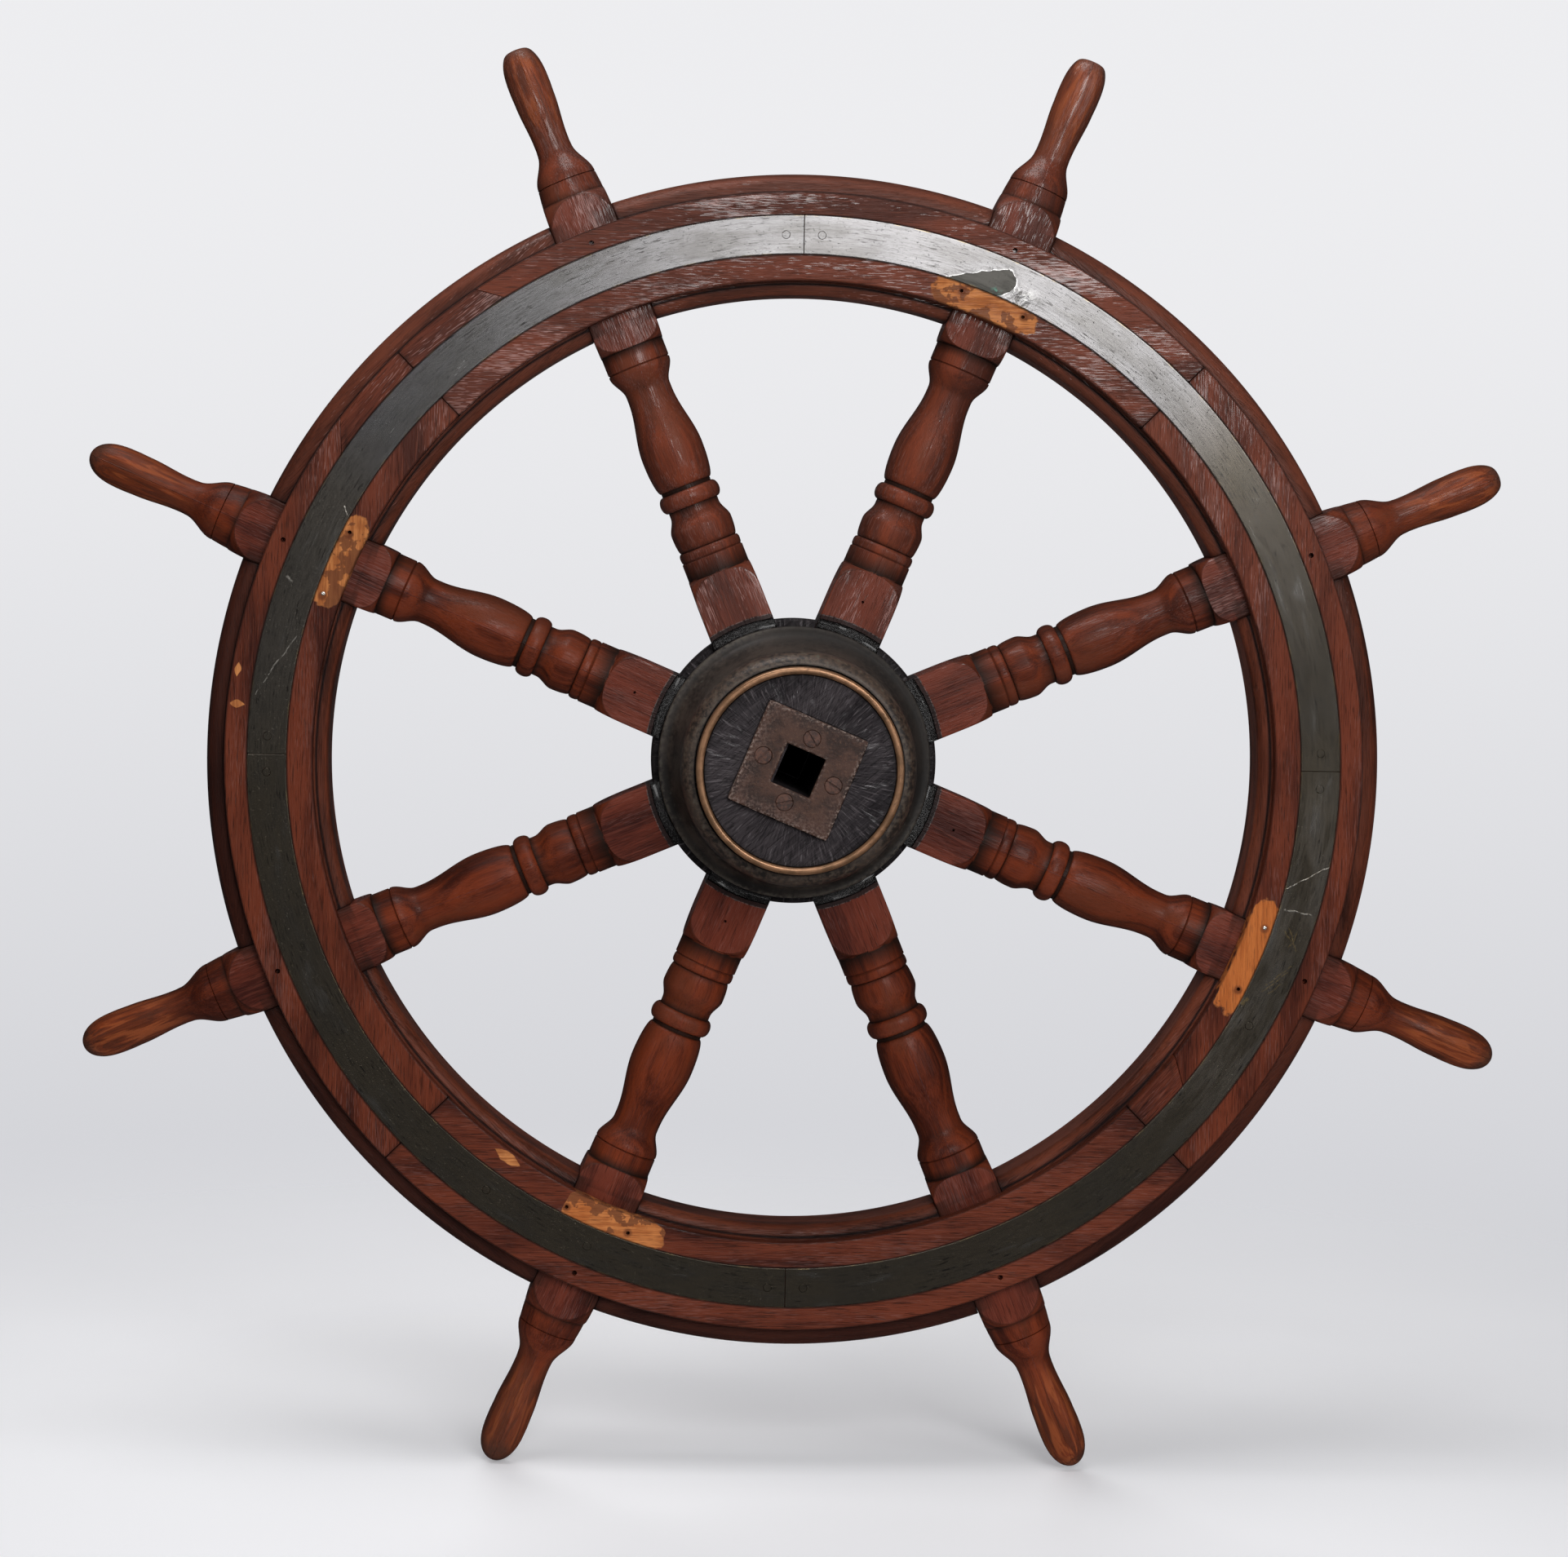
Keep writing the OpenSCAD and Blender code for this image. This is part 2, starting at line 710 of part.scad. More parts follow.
module rear_facing_plugs() {
    color("#9a5a3c") upright() rear_plug_places() cylinder(h = plug_t - round_gap, d = plug_d);
}

module front_facing_screws() {
    color("#8f8a80") upright() facing_screw_places() translate([0, 0, band_z]) difference() {
        facing_screw();
        screw_slot(facing_head_d);
    }
}

module rear_facing_screws() {
    color("#8f8a80") upright() facing_screw_places() translate([0, 0, -facing_z + plug_t]) mirror([0, 0, 1])
        difference() {
            facing_screw();
            screw_slot(facing_head_d);
        }
}

// The metal band

module band(i) {
    gap_a = band_gap / band_mid_r * 180 / PI;
    color("#6f7168") upright() difference() {
        rotate([0, 0, band_a(i) + gap_a / 2]) rotate_extrude(angle = segment_step - gap_a, $fn = 180)
            translate([band_inner_r, band_z]) square([band_w, band_t]);
        band_pin_cuts();
    }
}

module band_pins() {
    color("#8c8a78") upright() band_pin_places()
        translate([0, 0, facing_z - pin_len + round_gap]) cylinder(h = pin_len - round_gap, d = pin_d);
}

// The nave

module square_hole(from_z, to_z) {
    w = shaft_hole_w;
    rotate([0, 0, shaft_turn_a]) translate([-w / 2, -w / 2, from_z]) cube([w, w, to_z - from_z]);
}

module at_plate(shift) {
    rotate([0, 0, shaft_turn_a]) translate([shift, 0, 0]) children();
}

module plate_recess(shift) {
    w = plate_w + 2 * plate_play;
    at_plate(shift) translate([-w / 2, -w / 2, plate_back_z]) cube([w, w, plate_sink + overcut]);
}

module plate_screw(gap = 0) {
    countersunk(plate_head_d, plate_screw_d, plate_screw_len, gap);
}

module plate_screw_cuts(shift) {
    at_plate(shift) plate_screw_places() translate([0, 0, plate_z]) plate_screw(round_gap);
}

module nave_turning() {
    seat_r = flange_r - brim_w;
    front = [
        [belt_r, 0],
        [belt_r, belt_w / 2 - belt_bevel],
        [belt_r - belt_bevel, belt_w / 2],
        [seat_r, belt_w / 2],
        [seat_r, seat_z],
        [core_r, seat_z],
        [core_r, shoulder_z],
        [nose_r, shoulder_z],
        [nose_r, nave_z],
        [0, nave_z]
    ];
    back = [for (i = [len(front) - 1 : -1 : 1]) [front[i][0], -front[i][1]]];
    rotate_extrude() polygon(concat(front, back));
}

module mortise() {
    side = half_w + wood_gap;
    open_r = max(belt_r, flange_r);
    translate([house_r - wood_gap, -side, -half_w - overcut])
        cube([open_r - house_r + wood_gap + overcut, 2 * side, spoke_w + 2 * overcut]);
    translate([bolt_r, 0, -half_w - overcut])
        cylinder(h = spoke_w + 2 * overcut, d = bolt_d + 2 * round_gap);
    translate([tenon_root_r - wood_gap, -tenon_w / 2 - wood_gap, -tenon_t / 2 - wood_gap])
        cube([tenon_len + 2 * overcut, tenon_w + 2 * wood_gap, tenon_t + 2 * wood_gap]);
}

module nave_core() {
    color("#2b2420") upright() difference() {
        nave_turning();
        for (i = [1 : spoke_count]) at_spoke(i) mortise();
        square_hole(-nave_z - overcut, nave_z + overcut);
        plate_recess(plate_shift);
        behind() plate_recess(0);
        plate_screw_cuts(plate_shift);
        behind() plate_screw_cuts(0);
    }
}

module bell_turning() {
    base_z = seat_z;
    edge_z = seat_z + flange_edge_t;
    lip_z = seat_z + bell_lip_h;
    mouth_z = seat_z + bell_h;
    brim_r = flange_r - brim_w;
    neck_z = blend(edge_z, lip_z, cove_share);
    cove = [
        for (i = [0 : 12])
            let (t = 90 * i / 12)
            [blend(brim_r, bell_neck_r, sin(t)), blend(edge_z, neck_z, 1 - cos(t))]
    ];
    swell = [
        for (i = [1 : 4])
            let (t = i / 4)
            [blend(bell_neck_r, bell_lip_r, (1 - cos(180 * t)) / 2), blend(neck_z, lip_z, t)]
    ];
    crown = [
        for (i = [1 : 8])
            let (t = 90 * i / 8)
            [blend(bell_lip_r, bell_mouth_r, 1 - cos(t)), blend(lip_z, mouth_z, sin(t))]
    ];
    mouth_inner_r = bell_mouth_r - bell_mouth_t;
    rotate_extrude() polygon(concat(
        [[bore_r, base_z], [flange_r, base_z], [flange_r, edge_z - flange_edge_round],
         [flange_r - flange_edge_round, edge_z]],
        cove,
        swell,
        crown,
        [[mouth_inner_r, mouth_z], [mouth_inner_r, shoulder_z], [bore_r, shoulder_z]]
    ));
}

module front_hub_flange() {
    color("#3b332b") upright() difference() {
        bell_turning();
        hub_bolt_places() translate([0, 0, seat_z - overcut])
            cylinder(h = bolt_bite + round_gap + overcut, d = bolt_d + 2 * round_gap);
    }
}

module rear_hub_flange() {
    color("#3b332b") upright() difference() {
        behind() bell_turning();
        hub_bolt_places() {
            translate([0, 0, -bolt_head_z]) mirror([0, 0, 1])
                countersunk(bolt_head_d, bolt_d, flange_edge_t + 2 * bolt_d, round_gap);
            translate([0, 0, -bolt_head_z - bell_h])
                cylinder(h = bell_h, d = bolt_head_d + 2 * round_gap);
        }
    }
}

module hub_bolts() {
    color("#6b6052") upright() hub_bolt_places() difference() {
        rotate_extrude() polygon([
            [0, -bolt_head_z],
            [bolt_head_d / 2, -bolt_head_z],
            [bolt_head_d / 2, -bolt_head_z + head_land],
            [bolt_d / 2, -bolt_head_z + head_land + (bolt_head_d - bolt_d) / 2],
            [bolt_d / 2, bolt_tail_z],
            [0, bolt_tail_z]
        ]);
        translate([0, 0, -bolt_head_z]) mirror([0, 0, 1]) screw_slot(bolt_head_d);
    }
}

module nose_ring() {
    top_z = nave_z + nose_ring_proud;
    inner_r = nose_r + round_gap;
    rounding = min(nose_ring_round, (nose_ring_r - inner_r) / 2 - round_gap);
    rotate_extrude() polygon(concat(
        [[inner_r, shoulder_z], [nose_ring_r, shoulder_z]],
        [for (i = [0 : 5]) let (t = 18 * i)
            [nose_ring_r - rounding * (1 - cos(t)), top_z - rounding * (1 - sin(t))]],
        [for (i = [5 : -1 : 0]) let (t = 18 * i)
            [inner_r + rounding * (1 - cos(t)), top_z - rounding * (1 - sin(t))]]
    ));
}

module front_nose_ring() {
    color("#c08a4e") upright() nose_ring();
}

module rear_nose_ring() {
    color("#c08a4e") upright() behind() nose_ring();
}

module shaft_plate(shift) {
    difference() {
        at_plate(shift) translate([-plate_w / 2, -plate_w / 2, plate_back_z])
            cube([plate_w, plate_w, plate_t]);
        square_hole(plate_back_z - overcut, plate_z + overcut);
        plate_screw_cuts(shift);
    }
}

module front_shaft_plate() {
    color("#6a4a3e") upright() shaft_plate(plate_shift);
}

module rear_shaft_plate() {
    color("#6a4a3e") upright() behind() shaft_plate(0);
}

module plate_screws(shift) {
    at_plate(shift) plate_screw_places() translate([0, 0, plate_z]) difference() {
        plate_screw();
        screw_slot(plate_head_d);
    }
}

module front_plate_screws() {
    color("#8a4a30") upright() plate_screws(plate_shift);
}

module rear_plate_screws() {
    color("#8a4a30") upright() behind() plate_screws(0);
}

nave_core();
front_hub_flange();
rear_hub_flange();
front_nose_ring();
rear_nose_ring();
front_shaft_plate();
rear_shaft_plate();
front_plate_screws();
rear_plate_screws();
hub_bolts();
for (i = [1 : spoke_count]) spoke(i);
for (i = [1 : spoke_count]) felloe(i);
for (i = [1 : segment_count]) front_facing(i);
left_facing_patch();
right_facing_patch();
inner_facing_patch();
for (i = [1 : segment_count]) rear_facing(i);
for (i = [1 : segment_count]) band(i);
band_pins();
front_facing_screws();
rear_facing_screws();
rear_facing_plugs();
felloe_dowels();
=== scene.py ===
import json
import math
import bmesh
import bpy
import numpy as np
from mathutils import Matrix, Vector

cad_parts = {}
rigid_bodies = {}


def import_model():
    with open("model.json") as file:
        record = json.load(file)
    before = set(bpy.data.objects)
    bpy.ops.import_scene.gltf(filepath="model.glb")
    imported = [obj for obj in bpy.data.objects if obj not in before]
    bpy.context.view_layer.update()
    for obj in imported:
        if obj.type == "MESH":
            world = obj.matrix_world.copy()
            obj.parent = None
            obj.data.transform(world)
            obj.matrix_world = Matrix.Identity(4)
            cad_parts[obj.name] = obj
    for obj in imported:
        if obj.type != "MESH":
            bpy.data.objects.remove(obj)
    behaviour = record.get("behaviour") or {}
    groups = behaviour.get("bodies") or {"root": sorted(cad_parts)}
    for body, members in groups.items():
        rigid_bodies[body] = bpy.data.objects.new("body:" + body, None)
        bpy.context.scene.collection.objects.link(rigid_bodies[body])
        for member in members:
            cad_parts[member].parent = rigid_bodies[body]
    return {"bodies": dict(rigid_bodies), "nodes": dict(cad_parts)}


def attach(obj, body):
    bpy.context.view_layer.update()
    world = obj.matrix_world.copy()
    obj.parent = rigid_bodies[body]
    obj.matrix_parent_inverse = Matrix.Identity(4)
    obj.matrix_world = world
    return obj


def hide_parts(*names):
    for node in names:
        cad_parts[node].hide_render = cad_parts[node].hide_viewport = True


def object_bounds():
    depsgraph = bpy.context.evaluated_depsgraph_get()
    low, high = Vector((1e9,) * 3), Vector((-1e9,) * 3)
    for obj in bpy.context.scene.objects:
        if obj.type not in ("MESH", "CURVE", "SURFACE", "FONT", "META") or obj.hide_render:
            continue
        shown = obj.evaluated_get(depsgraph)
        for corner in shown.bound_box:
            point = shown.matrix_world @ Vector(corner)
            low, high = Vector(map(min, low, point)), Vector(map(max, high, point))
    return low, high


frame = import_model()
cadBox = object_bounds()
body = list(frame["bodies"])[0]
scene = bpy.context.scene
print("frame loaded:", len(frame["nodes"]), "nodes on", body)

# Shapes are drawn in millimetres as seen from the front: x to the right, y up, z towards the viewer.
# newPiece() turns them into the frame's own axes and into metres. The materials work in metres.
wheel = {
    "spokeAngles": [22.85, 67.75, 112.35, 157.4, 202.95, 247.7, 292.8, 337.75],
    "half": 28.575,            # half the thickness of rim and spokes
    "rimInner": 399.2,
    "rimOuter": 503.9,
    "facingInner": 411.3,
    "facingOuter": 486.5,
    "facingTop": 40.575,
    "bandInner": 433.5,
    "bandOuter": 466.9,
    "bandMid": 450.2,
    "bandFloor": 37.575,
    "plateTurn": -22.5,        # how far the square of the shaft is turned, in degrees
    "noseFace": 147.0,         # the end face of the nave
}
half = wheel["half"]
angles = wheel["spokeAngles"]
mm = 0.001


# Simple shapes: each is a pair of points and faces
def turned(points, degrees):
    a = math.radians(degrees)
    p = np.array(points, float)
    x, y = p[..., 0].copy(), p[..., 1].copy()
    p[..., 0] = x * math.cos(a) - y * math.sin(a)
    p[..., 1] = x * math.sin(a) + y * math.cos(a)
    return p


def gridFaces(rows, columns, wrapRows=False):  # the columns always close into a ring
    r = np.arange(rows if wrapRows else rows - 1)[:, None]
    c = np.arange(columns)[None, :]
    r2, c2 = (r + 1) % rows, (c + 1) % columns
    corners = np.broadcast_arrays(r * columns + c, r * columns + c2, r2 * columns + c2, r2 * columns + c)
    return np.stack(corners, -1).reshape(-1, 4).tolist()


# A profile of [radius, height] points turned about the axle. With bore it is a closed loop, and
# without it starts and ends on the axle.
def lathe(profile, segments=160, bore=True):
    profile = np.array(profile, float)
    a = np.linspace(0, 2 * math.pi, segments, endpoint=False)
    rows = profile if bore else profile[1:-1]
    points = np.stack([
        rows[:, :1] * np.cos(a), rows[:, :1] * np.sin(a), np.repeat(rows[:, 1:], segments, axis=1)
    ], -1).reshape(-1, 3)
    faces = gridFaces(len(rows), segments, wrapRows=bore)
    if not bore:
        points = np.concatenate([points, [[0, 0, profile[0][1]], [0, 0, profile[-1][1]]]])
        centre, last = len(rows) * segments, (len(rows) - 1) * segments
        for k in range(segments):
            k2 = (k + 1) % segments
            faces.append([centre, k2, k])
            faces.append([centre + 1, last + k, last + k2])
    return points, faces


# A closed profile of [radius, height] points carried along the rim, from the angles that first()
# gives for its radii to those of last(), with a small arris at both ends.
def sweep(profile, first, last, arris=0.4, pitch=8.0):
    r, z = np.array(profile, float).T
    a0, a1 = first(r), last(r)
    length = math.radians(np.mean(a1 - a0)) * r.mean()
    ends = np.array([0, arris, 1.5, 3, 6, 10, 15])
    middle = np.linspace(15, length - 15, max(2, int((length - 30) / pitch)))[1:-1]
    shares = np.concatenate([ends, middle, length - ends[::-1]]) / length
    centre = np.array([(r.max() + r.min()) / 2, (z.max() + z.min()) / 2])
    shrink = 1 - arris / np.array([(r.max() - r.min()) / 2, (z.max() - z.min()) / 2])
    rings = []
    for k, share in enumerate(shares):
        rk, zk = r, z
        if k in (0, len(shares) - 1):
            rk = centre[0] + (r - centre[0]) * shrink[0]
            zk = centre[1] + (z - centre[1]) * shrink[1]
        a = np.radians(a0 + (a1 - a0) * share)
        rings.append(np.stack([rk * np.cos(a), rk * np.sin(a), zk], -1))
    count = len(r)
    faces = gridFaces(len(rings), count)
    faces.append(list(range(count))[::-1])
    faces.append([(len(rings) - 1) * count + k for k in range(count)])
    return np.concatenate(rings), faces


def at(angle):
    return lambda r: angle + 0 * r


def moved(solid, x, y):
    return solid[0] + [x, y, 0], solid[1]


def spun(solid, degrees):
    return turned(solid[0], degrees), solid[1]


def behind(solid):
    return solid[0] * [1, 1, -1], solid[1]


def onSide(side, solid):  # the rear pieces are the front ones, mirrored
    return behind(solid) if side == "rear" else solid


def prism(x, y, radius, low, high, sides=28):
    return moved(lathe([[0, low], [radius, low], [radius, high], [0, high]], sides, bore=False), x, y)


def block(x0, x1, y0, y1, z0, z1):
    corners = ((x0, y0), (x1, y0), (x1, y1), (x0, y1))
    points = np.array([[x, y, z] for z in (z0, z1) for x, y in corners], float)
    faces = [[3, 2, 1, 0], [4, 5, 6, 7], [0, 1, 5, 4], [1, 2, 6, 5], [2, 3, 7, 6], [3, 0, 4, 7]]
    return points, faces


def joined(solids):
    points, faces, start = [], [], 0
    for p, f in solids:
        points.append(np.asarray(p, float))
        faces += [[k + start for k in face] for face in f]
        start += len(p)
    return np.concatenate(points), faces


def meshOf(name, solid):
    p = np.asarray(solid[0], float) * mm
    mesh = bpy.data.meshes.new(name)
    mesh.from_pydata(np.stack([p[:, 0], -p[:, 2], p[:, 1]], -1).tolist(), [], solid[1])
    return mesh


def newPiece(name, solid, looks, nodes=(), sharp=35, faceLooks=None, holes=None):
    piece = bpy.data.objects.new(name, meshOf(name, solid))
    scene.collection.objects.link(piece)
    for look in looks:
        piece.data.materials.append(look)
    if faceLooks is not None:
        piece.data.polygons.foreach_set("material_index", np.asarray(faceLooks, np.int32))
    clean(piece.data)
    if holes:
        carve(piece, holes)
    smooth(piece, sharp)
    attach(piece, body)
    if nodes:
        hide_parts(*nodes)
    return piece


def clean(mesh):
    work = bmesh.new()
    work.from_mesh(mesh)
    bmesh.ops.recalc_face_normals(work, faces=work.faces)
    work.to_mesh(mesh)
    work.free()


def smooth(piece, sharp):  # smooth all over, apart from edges sharper than so many degrees
    piece.data.shade_smooth()
    piece.data.set_sharp_from_angle(angle=math.radians(sharp))


def carve(piece, solid):
    tool = bpy.data.objects.new("cutter", meshOf("cutter", solid))
    scene.collection.objects.link(tool)
    clean(tool.data)
    cut = piece.modifiers.new("cut", "BOOLEAN")
    cut.operation = "DIFFERENCE"
    cut.solver = "EXACT"
    cut.object = tool
    bpy.context.view_layer.update()
    found = piece.evaluated_get(bpy.context.evaluated_depsgraph_get())
    result = bpy.data.meshes.new_from_object(found)
    piece.modifiers.remove(cut)
    old = piece.data
    piece.data = result
    bpy.data.meshes.remove(old)
    bpy.data.objects.remove(tool)


# Leaves on each point where its wood runs (grain), where on the wheel it is (spot), and how it is
# worn and shaded (wear: grime and painted shade, bare edges, form). wearOf gets millimetres and
# returns the last three.
def markSurface(piece, grainAngle, seed, wearOf=None):
    mesh = piece.data
    co = np.empty(len(mesh.vertices) * 3)
    mesh.vertices.foreach_get("co", co)
    co = co.reshape(-1, 3)
    spot = np.stack([co[:, 0], co[:, 2], -co[:, 1]], -1)
    grain = turned(spot, -grainAngle)
    grain = grain + np.random.default_rng(seed).uniform(-3, 3, 3)
    wear = np.zeros_like(spot)
    if wearOf:
        wear = np.stack([np.broadcast_to(w, len(spot)) for w in wearOf(*(spot.T * 1000))], -1)
    for title, values in (("grain", grain), ("spot", spot), ("wear", wear)):
        layer = mesh.attributes.new(title, "FLOAT_VECTOR", "POINT")
        layer.data.foreach_set("vector", np.ascontiguousarray(values, np.float32).ravel())


# Shader sums
class Wire:  # a socket that can stand in ordinary sums
    def __init__(self, tree, socket=None):
        self.tree = tree
        self.socket = socket

    def node(self, kind, settings=None, values=None, out=0):
        made = self.tree.nodes.new("ShaderNode" + kind)
        for key, value in (settings or {}).items():
            setattr(made, key, value)
        for key, value in (values or {}).items():
            if isinstance(value, Wire):
                self.tree.links.new(value.socket, made.inputs[key])
            else:
                made.inputs[key].default_value = value
        return Wire(self.tree, made.outputs[out] if len(made.outputs) else None)

    def maths(self, operation, *terms):
        return self.node("Math", {"operation": operation}, dict(enumerate(terms)))

    def __add__(self, other):
        return self.maths("ADD", self, other)

    def __radd__(self, other):
        return self.maths("ADD", other, self)

    def __sub__(self, other):
        return self.maths("SUBTRACT", self, other)

    def __rsub__(self, other):
        return self.maths("SUBTRACT", other, self)

    def __mul__(self, other):
        return self.maths("MULTIPLY", self, other)

    def __rmul__(self, other):
        return self.maths("MULTIPLY", other, self)

    def __truediv__(self, other):
        return self.maths("DIVIDE", self, other)

    def __pow__(self, other):
        return self.maths("POWER", self, other)

    def __abs__(self):
        return self.maths("ABSOLUTE", self)


def split(vector):
    return [vector.node("SeparateXYZ", {}, {0: vector}, out=k) for k in range(3)]


def stretch(vector, scales):
    return vector.node("VectorMath", {"operation": "MULTIPLY"}, {0: vector, 1: scales})


def noise(vector, scale=1.0, detail=2.0, rough=0.5, bend=0.0):
    return vector.node("TexNoise", {}, {
        "Vector": vector, "Scale": scale, "Detail": detail, "Roughness": rough, "Distortion": bend
    })


def fibres(grain, along, across, **more):  # noise drawn out along the grain
    return noise(stretch(grain, (along, across, across)), **more)


def arcs(flat, around, outward, **more):  # noise drawn out around the wheel
    return noise(stretch(flat, (around, outward, 1)), **more)


def step(value, low, high):  # 0 below low, 1 above high
    return value.node("MapRange", {"interpolation_type": "SMOOTHSTEP"}, {
        "Value": value, "From Min": low, "From Max": high, "To Min": 0.0, "To Max": 1.0
    })


def near(value, centre, width):  # 1 at the centre, 0 at that distance from it
    return step(abs(value - centre), width, 0.0)


def capped(value):
    return value.maths("MINIMUM", value.maths("MAXIMUM", value, 0.0), 1.0)


def tint(factor, under, over):
    def colour(c):
        return c if isinstance(c, Wire) else (*c, 1)
    return factor.node("Mix", {"data_type": "RGBA"}, {0: factor, 6: colour(under), 7: colour(over)}, out=2)


def placeOf(spot):  # x, y and the distance from the axle
    x, y, _ = split(spot)
    return x, y, (x * x + y * y) ** 0.5


def wayOf(place):  # the direction from the axle in degrees, 0 to the right and 90 up
    return place[0].maths("ARCTAN2", place[1], place[0]) * (180 / math.pi)


def facingWay(place, degrees, wide, soft):  # 1 within wide degrees of a direction, fading over soft
    x, y, radius = place
    a = math.radians(degrees)
    dot = (x * math.cos(a) + y * math.sin(a)) / radius
    return step(dot, math.cos(math.radians(wide + soft)), math.cos(math.radians(wide)))


def newLook(name, colour):
    look = bpy.data.materials.new(name)
    look.use_nodes = True
    look.diffuse_color = (*colour, 1)
    look.node_tree.nodes.clear()
    return look, Wire(look.node_tree)


# Ends a material: colour, roughness and so on go to the shader. A bump is a height, its size in
# metres and its strength.
def finish(start, values, *bump):
    if bump:
        height, size, strength = bump
        values["Normal"] = start.node("Bump", {}, {"Strength": strength, "Distance": size, "Height": height})
    shader = start.node("BsdfPrincipled", {}, values)
    start.node("OutputMaterial", {}, {"Surface": shader})


def attribute(start, title):
    return start.node("Attribute", {"attribute_name": title}, out=1)


# Woods. Ribs, pore and coat say how strongly ridges, pores and gloss show, open and wear how much
# of the surface the pores and the pale flecks of painted highlight take.
woods = {
    "spoke": {
        "dark": (0.043, 0.009, 0.006), "light": (0.145, 0.029, 0.015), "rib": (0.175, 0.045, 0.027),
        "turnedDark": (0.043, 0.008, 0.004), "turnedLight": (0.174, 0.031, 0.010),
        "grimeAndShade": (0.011, 0.006, 0.004),
        "ribs": 0.36, "pore": 0.55, "open": 0.41, "wear": 0.035, "rough": 0.34, "coat": 0.95,
    },
    "felloe": {
        "dark": (0.034, 0.009, 0.005), "light": (0.135, 0.035, 0.018), "rib": (0.130, 0.038, 0.022),
        "grimeAndShade": (0.006, 0.003, 0.003),
        "ribs": 0.12, "pore": 0.35, "open": 0.43, "wear": -0.11, "rough": 0.30, "coat": 0.60,
    },
    "facing": {
        "dark": (0.043, 0.009, 0.005), "light": (0.142, 0.030, 0.013), "rib": (0.170, 0.047, 0.025),
        "grimeAndShade": (0.008, 0.004, 0.003),
        "ribs": 0.36, "pore": 0.55, "open": 0.43, "wear": 0.015, "rough": 0.36, "coat": 0.95,
    },
    "nave": {
        "dark": (0.017, 0.014, 0.016), "light": (0.048, 0.040, 0.043), "rib": (0.072, 0.060, 0.064),
        "grimeAndShade": (0.004, 0.003, 0.003),
        "ribs": 0.40, "pore": 0.60, "open": 0.42, "wear": 0.0, "rough": 0.33, "coat": 0.55,
    },
    "plain": {
        "dark": (0.090, 0.035, 0.018), "light": (0.230, 0.100, 0.050), "rib": (0.200, 0.090, 0.050),
        "grimeAndShade": (0.020, 0.010, 0.008),
        "ribs": 0.40, "pore": 0.50, "open": 0.44, "wear": 0.0, "rough": 0.55, "coat": 0.0,
    },
}
# the side where the light falls, painted into the wood as a lighter tint and pale flecks and given more
# coat: direction, half width and fading in degrees, and how much of that the rest of the wheel has
paintedLightSide = {"way": 84, "wide": 32, "soft": 46, "rest": 0.14}
# places beside the band where something was once let in: direction and half width in degrees, how
# much of the old finish is left on them, and how orange they are
barePlaces = ((68.5, 6.3, 0.02, 0.2), (157.0, 5.5, 0.055, 0.2), (-110.3, 5.9, 0.0, 0.4),
              (-22.2, 6.9, -0.12, 1.0), (-114.9, 1.6, 0.05, 0.3))
bareRow = {"middle": 0.4234, "deep": 0.0106}  # their distance from the axle and their half height
# small chips: direction, half width in degrees, distance from the axle, half height
chips = ((-124.9, 1.9, 0.4172, 0.0052), (171.4, 0.75, 0.4812, 0.0030), (174.9, 0.45, 0.4780, 0.0062))
# the dark rings round the holes in pairs beside the band, one pair in every quarter
stainedHoles = {"way": 67.66, "aside": 3.827, "distance": 0.42695}
# dirt along the edges of the facing: distance from the axle and half width in millimetres, strength
facingEdges = ((wheel["bandInner"] - 0.5, 1.3, 1.0), (wheel["bandOuter"] + 0.5, 1.3, 1.0),
               (wheel["facingInner"] + 0.5, 1.4, 0.7), (wheel["facingOuter"] - 0.5, 1.4, 0.8))


def barePatches(degrees, radius, spot):  # 1 where wood is bare, 1 where finish is left on it, and how orange
    ragged = (noise(spot, 120, detail=4) - 0.5) * 1.5
    aside = (radius - bareRow["middle"]) / bareRow["deep"]
    cloud = noise(spot, 50, detail=4, rough=0.6) - aside * 0.065
    bare = stain = orange = 0.0
    for centre, wide, kept, share in barePlaces:
        one = step(abs((degrees - centre) / wide) ** 5 + abs(aside * 0.88) ** 3 + ragged, 1.25, 0.98)
        stain = one * step(cloud, 0.54 - kept, 0.565 - kept) + stain
        bare, orange = one + bare, one * share + orange
    chip = 0.0
    for centre, wide, middle, deep in chips:
        off = abs((degrees - centre) / wide) ** 1.5 + abs((radius - middle) / deep)
        chip = step(off + ragged * 0.6, 1.05, 0.9) + chip
    return capped(bare + chip), capped(stain), capped(orange)


def bareWood(grain, spot, degrees, radius, dash, stain, orange):
    vein = fibres(grain, 20, 330, detail=4, rough=0.65)
    pale = tint(step(vein * 0.7 + noise(spot, 90, detail=3) * 0.3, 0.40, 0.60), (0.320, 0.105, 0.032),
                (0.560, 0.220, 0.072))
    pale = tint(orange * 0.8, pale, tint(vein, (0.270, 0.062, 0.014), (0.600, 0.165, 0.034)))
    pale = tint(step(dash, 0.60, 0.68) * 0.55, pale, (0.150, 0.050, 0.020))
    pale = tint(stain * 0.80, pale, (0.135, 0.044, 0.020))
    around = abs(degrees.maths("WRAP", degrees - stainedHoles["way"], 45.0, -45.0))
    aside = abs(around - stainedHoles["aside"]) * (math.pi / 180 * 0.427)
    away = (aside * aside + (radius - stainedHoles["distance"]) ** 2.0) ** 0.5
    return tint(step(away, 0.0052, 0.0022) * 0.8, pale, (0.130, 0.036, 0.014))


